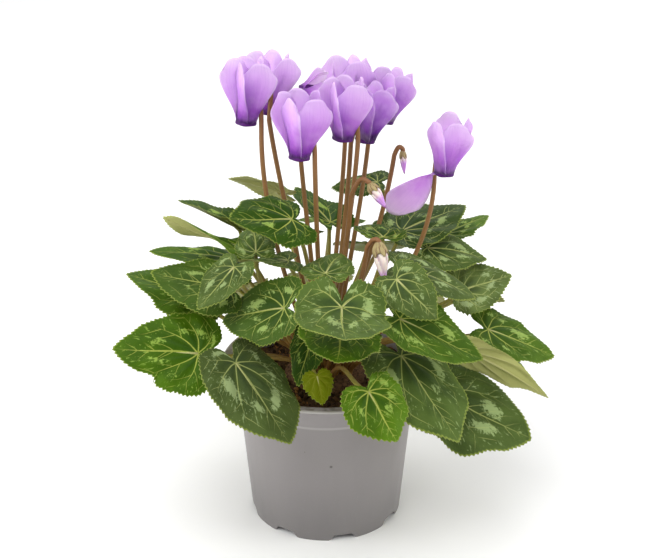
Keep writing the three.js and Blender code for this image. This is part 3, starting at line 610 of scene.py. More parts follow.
def calyx_material():
    """Beige-green sepals with brown lines that run down them."""
    g = Graph("flower_calyx", 0.6, 0.3)
    across, side, along = g.stored("where")
    brown = g.noise_along((across * 3.2, side * 3.2, along * 0.7), 1.5, 3).step(0.5, 0.6)
    g.paint = g.mix(g.noise(1.5), (146, 128, 82), (186, 170, 122))
    g.coat(brown * 0.8, (96, 52, 42))
    return g.done(brown * 0.6 + g.noise(0.5), 0.15)


def bud_material():
    """Creamy rolled petals that turn lilac at the tip."""
    g = Graph("bud_petals", 0.5, 0.3, Subsurface_Weight=0.15, Subsurface_Scale=0.003)
    groove, _, along = g.stored("where")
    violet = g.stored("look")[0]
    turned_lilac = (along - (0.75 - violet * 0.45)).step(0, 0.35)
    g.paint = g.mix(turned_lilac, (248, 234, 222), (206, 150, 224))
    g.coat(along.step(0.8, 1) * violet, (120, 70, 130))
    g.coat(groove * 0.5, (172, 120, 176))
    g.coat(groove.step(0.25, 0.7) * along.step(0.5, 0.05) * 0.55, (136, 84, 74))
    return g.done(g.noise(0.7, 3, stretch=(1, 1, 0.3)), 0.12)


def pot_material():
    """Warm-grey moulded plastic: faint flow lines, scuffs, dust, and soil stains at the lip, with
    painted shade towards the foot and painted highlights along the lip's outer edge and the collar
    step.
    """
    g = Graph("pot_plastic", 0.42, 0.45, Subsurface_Weight=0.12, Subsurface_Scale=0.006,
              Subsurface_Radius=(1.0, 0.95, 0.9))
    x, y, height = g.parts(g.place)
    top, rim, collar = POT_HEIGHT * MM, RIM_RADIUS * MM, (POT_HEIGHT - COLLAR_DEPTH) * MM
    flow = g.noise(6, 3, stretch=(1, 1, 0.12))
    g.paint = g.mix(g.noise(40), (132, 127, 127), (146, 141, 140))
    g.coat(flow * 0.18, (114, 112, 112))
    # Painted shade: the grey darkens towards the foot of the pot.
    g.coat(height.step(0.05, 0, 0, 0.5), (100, 98, 97))
    scuffs = g.noise(0.9, 4, stretch=(1, 1, 4)).step(0.66, 0.74)
    g.coat(scuffs * 0.35, (178, 174, 170))
    g.coat(g.noise(1.7, 1).step(0.8, 0.83) * 0.8, (84, 76, 68))
    stains = height.step(top - 0.0025, top) * g.noise(5, 3).step(0.42, 0.6)
    g.coat(stains * 0.6, (86, 78, 62))
    reach = g.math("SQRT", x * x + y * y)
    # Painted highlights: a light line along the rounded outer edge of the lip, and a fainter one
    # at the collar step, where light catches them.
    painted_lip_highlight = reach.step(rim - 0.0013, rim - 0.0006) * height.step(top - 0.0014, top - 0.0008)
    painted_collar_highlight = abs(height - (collar + 0.0002)).step(0.0011, 0.0004, 0, 0.45)
    g.coat(g.math("MAXIMUM", painted_lip_highlight * 0.9, painted_collar_highlight), (176, 173, 170))
    nick = Vector(NICK) * MM
    from_nick = g.node("VectorMath", {0: g.place, 1: nick}, "Value", operation="DISTANCE")
    g.coat(from_nick.step(0.0009, 0.0005, 0, 0.7), (70, 66, 62))
    g.feed(g.shader["Roughness"], flow * 0.18 + 0.36)
    return g.done(g.noise(0.5) * 0.5 + flow * 0.3, 0.06)


def soil_material():
    """Dark peat with tan fibres and a few pale grains."""
    g = Graph("potting_soil", 0.95, 0.2)
    coarse = g.noise(4, 4, roughness=0.65)
    g.paint = g.mix(coarse, (34, 24, 16), (96, 70, 46))
    fibres = g.noise(2.2, 3, stretch=(1, 0.25, 1)).step(0.6, 0.68)
    g.coat(fibres * 0.8, (172, 116, 56))
    g.coat(g.noise(1.1, 1).step(0.72, 0.76) * 0.7, (176, 158, 130))
    return g.done(coarse * 0.5 + g.noise(0.9, 3) * 0.5, 0.9)


def crumb_material():
    """Loose bark and peat crumbs, from nearly black to tan."""
    g = Graph("soil_crumbs", 0.9, 0.2)
    g.paint = g.mix(g.stored("look")[0], (42, 30, 20), (176, 126, 70))
    g.coat(g.noise(0.8, 3) * 0.6, (60, 42, 28))
    return g.done(g.noise(0.5, 3), 0.4)


def tuber_material():
    """Cracked, corky brown skin."""
    g = Graph("tuber_cork", 0.9, 0.2)
    cracks = g.node("TexVoronoi", {"Vector": g.place, "Scale": 520}, "Distance",
                    feature="DISTANCE_TO_EDGE")
    plates = (cracks + g.noise(2.5, 3) * 0.3).step(0.1, 0.26)
    cork = g.mix(g.noise(3, 3), (84, 60, 42), (122, 92, 66))
    g.paint = g.mix(plates, (54, 38, 26), cork)
    return g.done(plates * 0.6 + g.noise(0.8, 3) * 0.4, 0.8)


# Leaves

# The outline of a blade of length 1: its reach at angles from the tip, and its widest spread.
HEART_ANGLES = [0, 13, 29, 43, 69, 80, 93, 110, 125, 140, 150, 160, 180]
HEART_REACH = [1, 0.86, 0.745, 0.665, 0.575, 0.545, 0.52, 0.48, 0.42, 0.34, 0.24, 0.13, 0.05]
HEART_WIDTH = 1.075
SHOULDER_TURN = 75
SHOULDER_REACH = 0.12

# Main veins on each side: their angles from the midrib at the hub, and how they bend forward.
VEIN_TURNS = [0, 47, 90, 132]
VEIN_BEND = 1.0
MAIN_VEINS = [(1, 0), (1, 1), (1, 2), (1, 3), (-1, 1), (-1, 2), (-1, 3)]
VEIN_STEPS = 14
MIDRIB_END = 0.97
VEIN_ENDS = (0.74, 0.88)
VEIN_SWAY = 0.012
MIDRIB_FORKS = [0.28, 0.42, 0.56, 0.7, 0.82]
SIDE_FORKS = [0.36, 0.5, 0.63, 0.76]
FORK_STEPS = 8
FORK_TURNS = (0.6, 0.85)
FORK_LENGTHS = (0.16, 0.3)
FORK_STRENGTHS = (0.35, 0.85)

# Half widths in millimetres, and for the ridges below a blade where they end and their radius
MIDRIB_HALF = 0.9
VEIN_HALF = 0.58
FORK_HALF = 0.38
MIDDLE_RIDGE = (0.94, 0.8)
SIDE_RIDGE = (0.84, 0.55)
RIDGE_STEPS = 10

# Relief for each millimetre of a blade's length
BULGE = 0.028
RUFFLE = 0.018
UNEVEN = 0.016

# Dips in the rim, as a share of its reach
EVEN_DIPS = 0.045
UNEVEN_DIPS = 0.08


def heart(angle, full):
    """The reach of the outline at an angle in degrees from the tip. full rounds its shoulders."""
    turn = angle % 360
    turn = min(turn, 360 - turn)
    shoulder = sin(pi * min(turn / SHOULDER_TURN, 1))
    return curve_through(HEART_REACH, turn, HEART_ANGLES) + SHOULDER_REACH * full * shoulder


def blade_axes(leaf):
    """The directions of a blade: along its midrib, out to its left, and off its upper face."""
    heading, dip, roll = map(radians, (leaf.heading, leaf.dip, leaf.roll))
    along = Vector((cos(dip) * cos(heading), cos(dip) * sin(heading), -sin(dip)))
    flat_normal = (UP - along * UP.dot(along)).normalized()
    flat_side = flat_normal.cross(along)
    normal = flat_normal * cos(roll) + flat_side * sin(roll)
    return along, normal.cross(along), normal


def blade_height(leaf, x, y):
    """How high the solid's upper face stands over the flat plane."""
    x, y = x / leaf.length, y / leaf.length
    far = x * x + y * y
    return leaf.length * (-leaf.droop * max(x, 0)**2 - 1.6 * leaf.cup * y * y
                          + leaf.fold * abs(y) + leaf.lobe * max(-x, 0) + leaf.twist * x * y
                          + leaf.wave * far * cos(3 * atan2(y, x)))


def between_veins(x, y):
    """The turn of a place measured along the bent veins, and 1 midway between two of them."""
    turn = degrees(atan2(abs(y), x) + VEIN_BEND * abs(y))
    for low, high in zip(VEIN_TURNS, VEIN_TURNS[1:] + [200]):
        if turn < high:
            break
    gap = clamp((turn - low) / (high - low))
    return turn, 0.5 - 0.5 * cos(tau * min(gap, 0.5 if high == 200 else 1))


def on_vein(leaf, start, share):
    """The angle and reach of a main vein, a share of the way from the hub to the rim."""
    def reach(angle):
        return heart(degrees(angle), leaf.full) * share

    angle = radians(start)
    for _ in range(4):
        angle = radians(start) - VEIN_BEND * reach(angle) * sin(angle)
    return angle, reach(angle)


def even_angles(count, full):
    """Angles round the outline that stand the same length apart along it, and its length."""
    fine = 720
    angles = [360 * i / fine for i in range(fine + 1)]
    rim = [Vector(polar(a)) * heart(a, full) for a in angles]
    walked = [0.0]
    for a, b in zip(rim, rim[1:]):
        walked.append(walked[-1] + (b - a).length)
    picked, i = [], 0
    for k in range(count):
        goal = walked[-1] * k / count
        while walked[i + 1] < goal:
            i += 1
        picked.append(angles[i] + (goal - walked[i]) / (walked[i + 1] - walked[i]) * 360 / fine)
    return picked, walked[-1]


HEART_GIRTH = even_angles(2, 0)[1]


def main_vein(leaf, draws, side, main):
    """The points of a main vein, and how far towards the rim it goes."""
    ends = draws.uniform(*VEIN_ENDS) if main else MIDRIB_END
    start = VEIN_TURNS[main] + (draws.uniform(-3, 3) if main else 0)
    phase = draws.uniform(0, tau)
    points = []
    for i in range(VEIN_STEPS + 1):
        share = ends * i / VEIN_STEPS
        angle, reach = on_vein(leaf, start, share)
        sway = VEIN_SWAY * sin(5 * share + phase) * smooth(0, 0.3, share)
        points.append(Vector((reach * cos(angle) - sway * sin(angle),
                              (reach * sin(angle) + sway * cos(angle)) * side)))
    return points, ends


def fork(leaf, draws, points, at, ends, away, from_midrib):
    """The points of a small vein that leaves a main one at a share and wanders to the rim."""
    k = round(VEIN_STEPS * clamp((at + draws.uniform(-0.05, 0.05)) / ends, 0, 0.9))
    ahead = points[k + 1] - points[k]
    heading = atan2(ahead.y, ahead.x) + away * draws.uniform(*FORK_TURNS)
    bend = -away * draws.uniform(0.5, 1.6) if from_midrib else draws.uniform(-1, 1)
    branch = [points[k]]
    step = draws.uniform(*FORK_LENGTHS) / FORK_STEPS
    for _ in range(FORK_STEPS):
        place = branch[-1] + step * Vector((cos(heading), sin(heading)))
        heading += bend * step + draws.uniform(-0.14, 0.14)
        if place.length > 0.92 * heart(degrees(atan2(place.y, place.x)), leaf.full):
            break
        branch.append(place)
    return branch


def vein_lines(leaf, draws):
    """The veins of a blade of length 1: for each its points, half width and strength."""
    lines = []
    for side, main in MAIN_VEINS:
        points, ends = main_vein(leaf, draws, side, main)
        lines.append((points, VEIN_HALF if main else MIDRIB_HALF, 1.0))
        for n, at in enumerate(SIDE_FORKS if main else MIDRIB_FORKS):
            for turn in [1 - 2 * (n % 2)] if main else [1, -1]:
                branch = fork(leaf, draws, points, at, ends, turn * side, not main)
                if len(branch) > 2:
                    lines.append((branch, FORK_HALF, draws.uniform(*FORK_STRENGTHS)))
    return lines


def pale_spots(draws):
    """Soft pale places between the main veins: side, turn, share, and their reach and strength."""
    spots = []
    for side in (1, -1):
        for low, high in zip(VEIN_TURNS, VEIN_TURNS[1:] + [170]):
            strength = draws.uniform(0.3, 1.2)
            spots.append((side, (low + high) / 2 + draws.uniform(-6, 6), draws.uniform(0.5, 0.66),
                          draws.uniform(12, 24), draws.uniform(0.08, 0.16), strength))
    return spots


class Blade:
    """The surface of one leaf's blade. Places on it are given on a blade of length 1."""

    def __init__(self, leaf):
        self.leaf = leaf
        self.axes = blade_axes(leaf)
        self.draws = random.Random(leaf.number)
        self.phase = self.draws.uniform(0, tau)
        self.lobes = self.draws.randint(6, 9)
        self.spread = leaf.width / (leaf.length * HEART_WIDTH)
        self.drift = Vector((leaf.number * 3.7, leaf.number * 1.9, 0))
        self.spots = pale_spots(self.draws)

    def point(self, x, y, share, below=0.0):
        """The row's place for one on the blade, a share of the way from hub to rim."""
        length = self.leaf.length
        bulge = BULGE * between_veins(x, y)[1] * smooth(0, 0.35, hypot(x, y))
        bulge *= length * smooth(1.05, 0.7, share)
        ruffle = length * RUFFLE * share**4 * sin(self.lobes * atan2(y, x) + self.phase)
        uneven = length * UNEVEN * share * noise.noise(Vector((x, y, 0)) * 3 + self.drift)
        x, y = x * length, y * length * self.spread
        height = blade_height(self.leaf, x, y) + bulge + ruffle + uneven - below
        along, side, normal = self.axes
        return self.leaf.hub + along * x + side * y + normal * height

    def outline(self, angle):
        """The reach of the rim, with the shallow dips that a real leaf has."""
        leaf = self.leaf
        dips = 0.5 + 0.5 * sin(self.lobes * radians(angle) + 2 * self.phase)
        dips = EVEN_DIPS * dips
        dips += UNEVEN_DIPS * abs(noise.noise(Vector((*polar(angle), 0)) * 2.2 + self.drift))
        away = min(angle % 360, 360 - angle % 360)
        dips *= smooth(4, 30, away) * smooth(175, 150, away)
        at, wide, deep = leaf.notch
        dips += deep * exp(-((angle - at) / wide) ** 2)
        inset = RIM_INSET / leaf.length * smooth(0, 90, 180 - away)
        return heart(angle, leaf.full) * (1 - dips) - inset

    def mark(self, x, y, share, strength=0.0):
        """How strong the vein, the pale pattern and the painted shade midway between veins are at
        a place.
        """
        turn, midway_shade = between_veins(x, y)
        pale = 0.0
        for on_side, at_turn, at_share, wide, long, peak in self.spots:
            if on_side * y > 0:
                far = ((turn - at_turn) / wide) ** 2 + ((share - at_share) / long) ** 2
                pale = max(pale, peak * exp(-far))
        return strength, pale, midway_shade


def add_sheet(piece, blade):
    """The blade itself: a toothed rim, rings in to the hub and thin edges."""
    leaf = blade.leaf
    columns = 2 * round(leaf.length * HEART_GIRTH / TOOTH_PITCH)
    angles = even_angles(columns, leaf.full)[0]
    rows = [(i / BLADE_RINGS) ** 0.85 for i in range(1, BLADE_RINGS)] + [1.0]
    bite = [blade.draws.uniform(0.4, 1.4) for _ in angles]
    reaches = [blade.outline(angle) for angle in angles]
    points, where, marks, faces = [], [], [], []
    for under in (0, 1):
        points.append(blade.point(0, 0, 0, under * BLADE_THICKNESS))
        where.append((0, 0, 2 * under))
        marks.append((1, 0, 0))
        for share in rows:
            thin = BLADE_THICKNESS * (1 - 0.6 * smooth(0.8, 1, share))
            for k, angle in enumerate(angles):
                tooth = TOOTH_HEIGHT * bite[k] / leaf.length * (1 if k % 2 else -1) * share**14
                flat = polar(angle, reaches[k] * share + tooth)
                points.append(blade.point(*flat, share, under * thin))
                where.append((*flat, share + 2 * under))
                marks.append(blade.mark(*flat, share))
    count = len(points) // 2
    for k in range(columns):
        n = (k + 1) % columns
        faces += [(0, 1 + k, 1 + n), (count, count + 1 + n, count + 1 + k)]
        for inner in range(1, count - columns, columns):
            a, b = inner + k, inner + n
            c, d = b + columns, a + columns
            faces += [(a, d, c, b), (count + a, count + b, count + c, count + d)]
        a, b = count - columns + k, count - columns + n
        faces.append((a, count + a, count + b, b))
    piece.add(points, faces, where, leaf.look, marks=marks)


def add_veins(piece, blade):
    """Narrow raised strips, with a low ridge along the middle."""
    leaf = blade.leaf
    for line, wide, strength in vein_lines(leaf, blade.draws):
        points, where, marks = [], [], []
        last = len(line) - 1
        for i, middle in enumerate(line):
            ahead = (line[min(i + 1, last)] - line[max(i - 1, 0)]).normalized()
            half = wide * (1 - 0.72 * i / last) / leaf.length
            fade = strength * (1 - 0.75 * smooth(0.55, 1, i / last))
            for k in (-1, 0, 1):
                spot = middle + Vector((-ahead.y, ahead.x)) * half * k
                share = spot.length / heart(degrees(atan2(spot.y, spot.x)), leaf.full)
                points.append(blade.point(*spot, share, 0.04 if k else -VEIN_LIFT))
                where.append((*spot, share))
                marks.append(blade.mark(*spot, share, 0.0 if k else fade))
        faces = [(a, a + 3, a + 4, a + 1) for i in range(0, 3 * last, 3) for a in (i, i + 1)]
        piece.add(points, faces, where, leaf.look, marks=marks)


def add_ridges(piece, blade):
    """The round main veins that stand out under the blade."""
    leaf = blade.leaf
    for main in range(-3, 4):
        end, thick = SIDE_RIDGE if main else MIDDLE_RIDGE
        ridge, radii = [], []
        for i in range(RIDGE_STEPS + 1):
            share = end * i / RIDGE_STEPS
            angle, reach = on_vein(leaf, VEIN_TURNS[abs(main)], share)
            spot = (reach * cos(angle), reach * sin(angle) * (1 if main > 0 else -1))
            ridge.append(blade.point(*spot, share, BLADE_THICKNESS))
            radii.append(thick * (1 - 0.85 * i / RIDGE_STEPS))
        places, faces, _ = tube(ridge, radii, 5)
        count = len(places)
        piece.add(places, faces, [(0.3, 0, 2.3)] * count, leaf.look, marks=[(1, 0, 0)] * count)


def crown_point(root):
    return Vector((root.x, root.y, TUBER_TOP + 1))


def petiole_curve(leaf, start):
    """A smooth curve from start to just under the hub."""
    along, _, normal = blade_axes(leaf)
    end = leaf.hub - normal * (SOLID_BLADE + 0.45)
    span = (end - start).length
    outward = Vector((end.x - start.x, end.y - start.y, 0)).normalized()
    arrive = (normal * leaf.rise + along * 0.65).normalized()
    bow = Vector(leaf.bow)
    first = start + bow + UP * span * 0.3 + outward * span * 0.1
    second = end + bow - arrive * span * 0.3
    return lambda t: bezier(start, first, second, end, t)


def add_petiole(piece, leaf, root):
    """The petiole, from its foot or from the leaf that it is joined to, to under the midrib."""
    along, _, normal = blade_axes(leaf)
    start = crown_point(root)
    points = [Vector((root.x, root.y, STEM_FOOT))]
    if leaf.joins:
        main = next(other for other in LEAVES if other.number == leaf.joins)
        start = petiole_curve(main, start)(0.1)
        points = []
    curve = petiole_curve(leaf, start)
    points += [curve(i / 16) for i in range(17)]
    last = len(points) - 1
    radii = [PETIOLE_RADIUS + (HUB_RADIUS - PETIOLE_RADIUS) * i / last for i in range(last + 1)]
    x = leaf.length * 0.12
    under = blade_height(leaf, x, 0) - BLADE_THICKNESS
    points += [leaf.hub + along * x * 0.3 - normal * (BLADE_THICKNESS + 0.5),
               leaf.hub + along * x + normal * under]
    piece.add(*tube(points, radii + [0.9, 0.4], 10), material=1)


def crown_places(stems):
    """Feet of the stems: each, nearest first, takes the free place of a hexagonal grid that
    lies closest to its own side of the crown."""
    grid = []
    for row in range(-6, 7):
        for column in range(-6, 7):
            place = Vector(((column + (0.5 if row % 2 else 0)) * CROWN_PITCH,
                            row * CROWN_PITCH * sqrt(0.75)))
            if place.length < CROWN_RADIUS:
                grid.append(place)
    places = {}
    for name, hub, reach in sorted(stems, key=lambda stem: stem[2]):
        wish = Vector((hub.x, hub.y)).normalized() * min(CROWN_FOOT_LIMIT, reach * CROWN_SHARE)
        grid.sort(key=lambda place: (place - wish).length)
        places[name] = grid.pop(0)
    return places


def foot_wish(name, hub, share):
    return name, hub, (hypot(hub.x, hub.y) + max(0, HIGH_HUB - hub.z)) * share


# Flowers

# The middle line, half width and rounded end of a petal, at even steps from the mouth to its tip
PETAL_RADIUS = [4.6, 6.6, 10.4, 9.6]
PETAL_HEIGHT = [-0.4, 9.5, 22.5, 32.9]
PETAL_HALF_WIDTH = [2.6, 5.2, 9.4, 6.4]
PETAL_EDGE_DROP = [0, 0, 0.5, 4.4]
PETAL_TIP_POWER = 2.7
PETAL_SHOULDER = 0.08
PETAL_SKEW = 24
PETAL_CLOSING_SKEW = 36
PETAL_CURL = 0.06
PETAL_WAVE = 0.6
PETAL_CREASE = 0.15
PETAL_FLARE = 0.8
PETAL_BEND = 0.9
PETAL_BREADTHS = (0.97, 1.06)
HANGING_RADIUS = [4.6, 9.5, 17, 24]
HANGING_HEIGHT = [-0.4, -4, -14, -23]
HANGING_TWIST = [0, 40, 70, 75]
PETAL_TURNS = [48, 106, 166, 236, 312]
PETAL_ROWS = 22
PETAL_COLUMNS = 13

# The hook of a flower's stem: places beside its axis and above its mouth
STEM_TOP = (7.2, -2.5)
HOOK = [(6.6, 4.5), (5.2, 10.5), (2.2, 13), (0, 11.6), (0, 9.4)]
SEPALS = 5
CALYX_TOP = 10.2
CALYX_LENGTH = 3.4
CALYX_ROWS = 7
ROUND_COLUMNS = 40

BUD_STATIONS = [0, 0.2, 0.5, 0.8, 1]
BUD_RADIUS = [0.86, 0.93, 0.72, 0.36, 0.06]
BUD_ROWS = 26


def flower_frame(flower):
    """Turns a place in a flower's own frame, with its origin in the mouth, into the row's."""
    axis = Vector((-sin(radians(flower.lean_to)), cos(radians(flower.lean_to)), 0))
    turn = Quaternion(axis, radians(flower.lean))
    return lambda x, y, z: turn @ Vector((x, y, z)) + flower.mouth


def add_petal(piece, flower, turn, hangs, frame_of):
    """A thin, rounded petal that is curved across and along, with a softly waved tip."""
    draws = random.Random(f"{flower.name}{turn}")
    phase = draws.uniform(0, tau)
    flare = draws.uniform(-PETAL_FLARE, PETAL_FLARE)
    broad = draws.uniform(*PETAL_BREADTHS)
    bend = draws.uniform(-PETAL_BEND, PETAL_BEND)
    radial = Vector((*polar(turn), 0))
    tangent = Vector((-radial.y, radial.x, 0))
    turned_in = radians(PETAL_SKEW + PETAL_CLOSING_SKEW * (1 - flower.opening))

    def middle(s):
        if hangs:
            return curve_through(HANGING_RADIUS, s), curve_through(HANGING_HEIGHT, s)
        radius, height = curve_through(PETAL_RADIUS, s), curve_through(PETAL_HEIGHT, s)
        opened = THROAT_RADIUS + (radius - THROAT_RADIUS) * flower.opening
        opened += flare * smooth(1.5, 3, s) * flower.size
        base = 1 - smooth(0, 0.3, s)
        return opened * (1 - base) + radius * base, height * flower.size

    def half_width(s):
        half = curve_through(PETAL_HALF_WIDTH, s)
        half *= (1 - 0.16 * smooth(0.5, 2, s)) if hangs else 1 + 0.16 * smooth(2, 0.9, s)
        half *= (1 + (flower.size - 1) * smooth(0, 0.6, s)) * (1 + (broad - 1) * smooth(0.5, 2, s))
        return half * (1 + PETAL_SHOULDER * smooth(2, 2.6, s) * smooth(3, 2.6, s))

    points, where = [], []
    for inside in (0, 1):
        for i in range(PETAL_ROWS):
            s = 3 * i / (PETAL_ROWS - 1)
            r0, z0 = middle(s)
            ends = zip(middle(min(s + 0.05, 3)), middle(max(s - 0.05, 0)))
            run = Vector([ahead - behind for ahead, behind in ends]).normalized()
            half = half_width(s)
            skew = turned_in * smooth(0, 1.5, s)
            wrap = half * half / (2 * max(r0, 4)) * (0.8 - 0.65 * smooth(0.5, 2.2, s))
            twist = radians(curve_through(HANGING_TWIST, s)) if hangs else 0
            drop_by = curve_through(PETAL_EDGE_DROP, s) * flower.size
            for k in range(PETAL_COLUMNS):
                t = 2 * k / (PETAL_COLUMNS - 1) - 1
                drop = drop_by * abs(t) ** PETAL_TIP_POWER
                wave = PETAL_WAVE * smooth(1.2, 3, s) * sin(3.2 * t + phase) * flower.size
                wave += bend * t * t * smooth(1, 2.6, s) * flower.size
                crease = -PETAL_CREASE * exp(-(t / 0.2)**2)
                crease *= smooth(0.1, 1, s) * smooth(3, 2, s)
                r = (r0 + sin(skew) * half * t - (PETAL_CURL * half + wrap) * t * t
                     - run.x * drop + wave + crease)
                z = z0 - run.y * drop
                depth = inside * PETAL_THICKNESS * (1 - 0.6 * max(t * t, smooth(2.3, 3, s)))
                lift = depth * cos(twist) + half * t * sin(twist)
                sideways = half * t * cos(skew) * cos(twist) - depth * sin(twist)
                points.append(frame_of(*(radial * (r - run.y * lift) + tangent * sideways
                                         + UP * (z + run.x * lift))))
                where.append((t, s / 3, inside))
    piece.add(points, sheet_faces(PETAL_ROWS, PETAL_COLUMNS), where,
              (flower.depth, flower.grey, 0))


def add_throat(piece, flower, frame_of):
    """The short tube below the petals: a rolled dark lip in five lobes round a shallow mouth."""
    r, h = THROAT_RADIUS, THROAT_HEIGHT
    profile = [(0, 2.6), (0.6, 2.6), (1.6, 2.3), (r - 2.0, 1.2), (r - 1.1, -0.4), (r - 0.4, -0.9),
               (r + 0.05, -0.8), (r + 0.25, -0.2), (r, 1.2), (r - 0.4, h * 0.45),
               (r - 1.4, h * 0.8), (r - 3.0, h - 0.3), (0, h)]

    def lobed(radius, height, angle):
        lobe = cos(5 * (angle - radians(PETAL_TURNS[0] + flower.stem_at)))
        return radius * (1 + 0.05 * lobe * smooth(4, 0, height)), height

    places, faces = turned(profile, ROUND_COLUMNS, lobed)
    where = [(Vector((p.x, p.y)).length / r if p.z < 3 else 1, 0, clamp(p.z / h)) for p in places]
    piece.add([frame_of(*p) for p in places], faces, where, material=1)
    pistil = [Vector((0, 0, z)) for z in (2.8, 1.2, -0.2, -0.9)]
    places, faces, _ = tube(pistil, [0.45, 0.4, 0.4, 0.55])
    piece.add([frame_of(*p) for p in places], faces, material=1)


def add_scape(piece, root, end, bow, hook, steps):
    """A round stem from its foot to end, and on through the hook into the calyx."""
    start, bow = crown_point(root), Vector(bow)
    span = (end - start).length
    first = start.lerp(end, 0.33) + bow
    second = end.lerp(start, 0.16) - UP * span * 0.16 + bow
    line = [Vector((root.x, root.y, STEM_FOOT))]
    line += [bezier(start, first, second, end, i / 24) for i in range(25)]
    line += through([*line[-2:], *hook], steps)[steps + 1:]
    piece.add(*tube(line, [SCAPE_RADIUS] * len(line), 12))


def add_calyx(piece, top, down, radius, length):
    """A cup of pointed sepals that opens downwards from top, round the axis down."""
    points, where = [], []
    for inside in (0, 1):
        for i in range(CALYX_ROWS):
            s = i / (CALYX_ROWS - 1)
            for angle, ray in ring(down, ROUND_COLUMNS, 1):
                tip = 0.5 + 0.5 * cos(SEPALS * angle)
                reach = length * s * (0.72 + 0.28 * tip ** 1.5)
                r = radius * sin(pi / 2 * min(1, 0.25 + 0.85 * s)) * (1 + 0.04 * tip)
                points.append(top + down * (reach + inside * 0.25 * (1 - s))
                              + ray * (r - inside * 0.3))
                where.append((cos(angle), sin(angle), s))
    piece.add(points, sheet_faces(CALYX_ROWS, ROUND_COLUMNS + 1), where, material=1)


def make_flower(flower, root, looks):
    frame_of = flower_frame(flower)
    corolla = Piece(f"corolla_{flower.name}", looks.petal, looks.mouth)
    for i, turn in enumerate(PETAL_TURNS):
        add_petal(corolla, flower, turn + flower.stem_at, flower.hanging == i, frame_of)
    add_throat(corolla, flower, frame_of)
    corolla.make(f"flower_{flower.name}", slot="petal")

    def beside(r, z):
        return frame_of(*polar(flower.stem_at, r), z)

    scape = Piece(f"flower_stem_{flower.name}", looks.scape, looks.calyx)
    add_scape(scape, root, beside(*STEM_TOP), flower.bow, [beside(*at) for at in HOOK], 4)
    down = (frame_of(0, 0, 0) - frame_of(0, 0, 1)).normalized()
    add_calyx(scape, beside(0, CALYX_TOP), down, CALYX_RADIUS, CALYX_LENGTH)
    scape.make(f"scape_{flower.name}", slot="flower_stem")


def make_bud(bud, root, looks):
    down = (bud.tip - bud.top).normalized()
    stalk = Piece(f"bud_stem_{bud.name}", looks.scape, looks.calyx)
    arch = bud.neck.lerp(bud.top, 0.5) + UP * bud.arch
    add_scape(stalk, root, bud.neck, (0, 0, 0), [arch, bud.top, bud.top.lerp(bud.tip, 0.2)], 6)
    add_calyx(stalk, bud.top.lerp(bud.tip, 0.03), down, bud.radius * 1.02,
              (bud.tip - bud.top).length * 0.36)
    stalk.make(f"bud_stalk_{bud.name}", slot="flower_stem")

    rolled = Piece(f"rolled_petals_{bud.name}", looks.bud)
    points, where = [], []
    start = bud.top.lerp(bud.tip, 0.3)
    for i in range(BUD_ROWS):
        s = i / (BUD_ROWS - 1)
        radius = bud.radius * curve_through(BUD_RADIUS, s, BUD_STATIONS)
        for angle, ray in ring(down, ROUND_COLUMNS):
            pleat = ((5 * angle / tau + 0.9 * s) % 1) ** 2
            r = radius * (1 - 0.16 * pleat * smooth(0, 0.2, s))
            points.append(start.lerp(bud.tip, s) + ray * r)
            where.append((pleat, 0, s))
    rolled.add(points, ring_faces(BUD_ROWS, ROUND_COLUMNS), where, (bud.violet, 0, 0))
    rolled.make(f"bud_{bud.name}", slot="bud_petal")


# Pot, soil and tuber

def make_pot(looks):
    """The pot, turned finely, with its notched foot ring and the drain holes in its floor."""
    top, rim, body, base = POT_HEIGHT, RIM_RADIUS, BODY_TOP_RADIUS, BASE_RADIUS
    pad, under, floor = CENTRE_PAD_RADIUS, FLOOR_UNDERSIDE, FLOOR_UNDERSIDE + WALL
    collar, inside, lip = top - COLLAR_DEPTH, base - WALL, rim - LIP_WIDTH
    slope = (body - base) / collar
    flare = (rim - body) / COLLAR_DEPTH
    profile = [(0, 0), (pad - 0.4, 0), (pad, 0.4), (pad, under), (inside, under), (inside, 0),
               (base, 0)]
    profile += [(base + slope * z, z) for z in (4, 8, 20, 32, 44, 56)]
    profile += [(body - 0.1, collar - 1), (body + 0.1, collar - 0.2)]
    profile += [(body + flare * z, collar + z) for z in (0.8, 4, 8, 12)]
    profile += [(rim - 0.1, top - 1.1), (rim, top - LIP_ROUND), (rim - 0.2, top - 0.2),
                (rim - LIP_ROUND, top), (lip, top), (lip - 0.4, top - 0.3),
                (lip - LIP_ROUND, top - 2 * LIP_ROUND), (body - WALL, collar - 0.5),
                (inside + 0.8, floor + 1.5), (inside - 0.6, floor), (0, floor)]
    half_notch = asin(NOTCH_WIDTH / 2 / base)
    edge = radians(NOTCH_EDGE)

    def notched(radius, height, angle):
        if height > 0 or radius < pad + 1:
            return radius, height
        pitch = tau / FOOT_NOTCHES
        off = abs((angle - radians(NOTCH_TURN) + pitch / 2) % pitch - pitch / 2)
        lift = NOTCH_HEIGHT * smooth(half_notch + edge / 2, half_notch - edge / 2, off)
        return radius + slope * lift, lift

    pot = Piece("nursery_pot", looks.pot)
    pot.add(*turned(profile, POT_SEGMENTS, notched))
    made = pot.make("pot", slot="pot_plastic")
    for i in range(DRAIN_HOLES):
        place = Vector((*polar(360 * i / DRAIN_HOLES, DRAIN_CIRCLE), under)) * MM
        bpy.ops.mesh.primitive_cylinder_add(vertices=32, radius=DRAIN_RADIUS * MM,
                                            depth=DRAIN_CUT * MM, location=place)
        cutter = bpy.context.object
        cut = made.modifiers.new("drain", "BOOLEAN")
        cut.object = cutter
        cut.solver = "EXACT"
        bpy.context.view_layer.objects.active = made
        bpy.ops.object.modifier_apply(modifier=cut.name)
        bpy.data.objects.remove(cutter)
    made.data.shade_smooth()
    made.data.set_sharp_from_angle(angle=radians(SHARP_EDGE))


def soil_height(x, y):
    """The uneven top of the soil."""
    place = Vector((x, y, 0))
    return sum((height * noise.noise(place / size) for height, size in SOIL_LUMPS), SOIL_LEVEL)


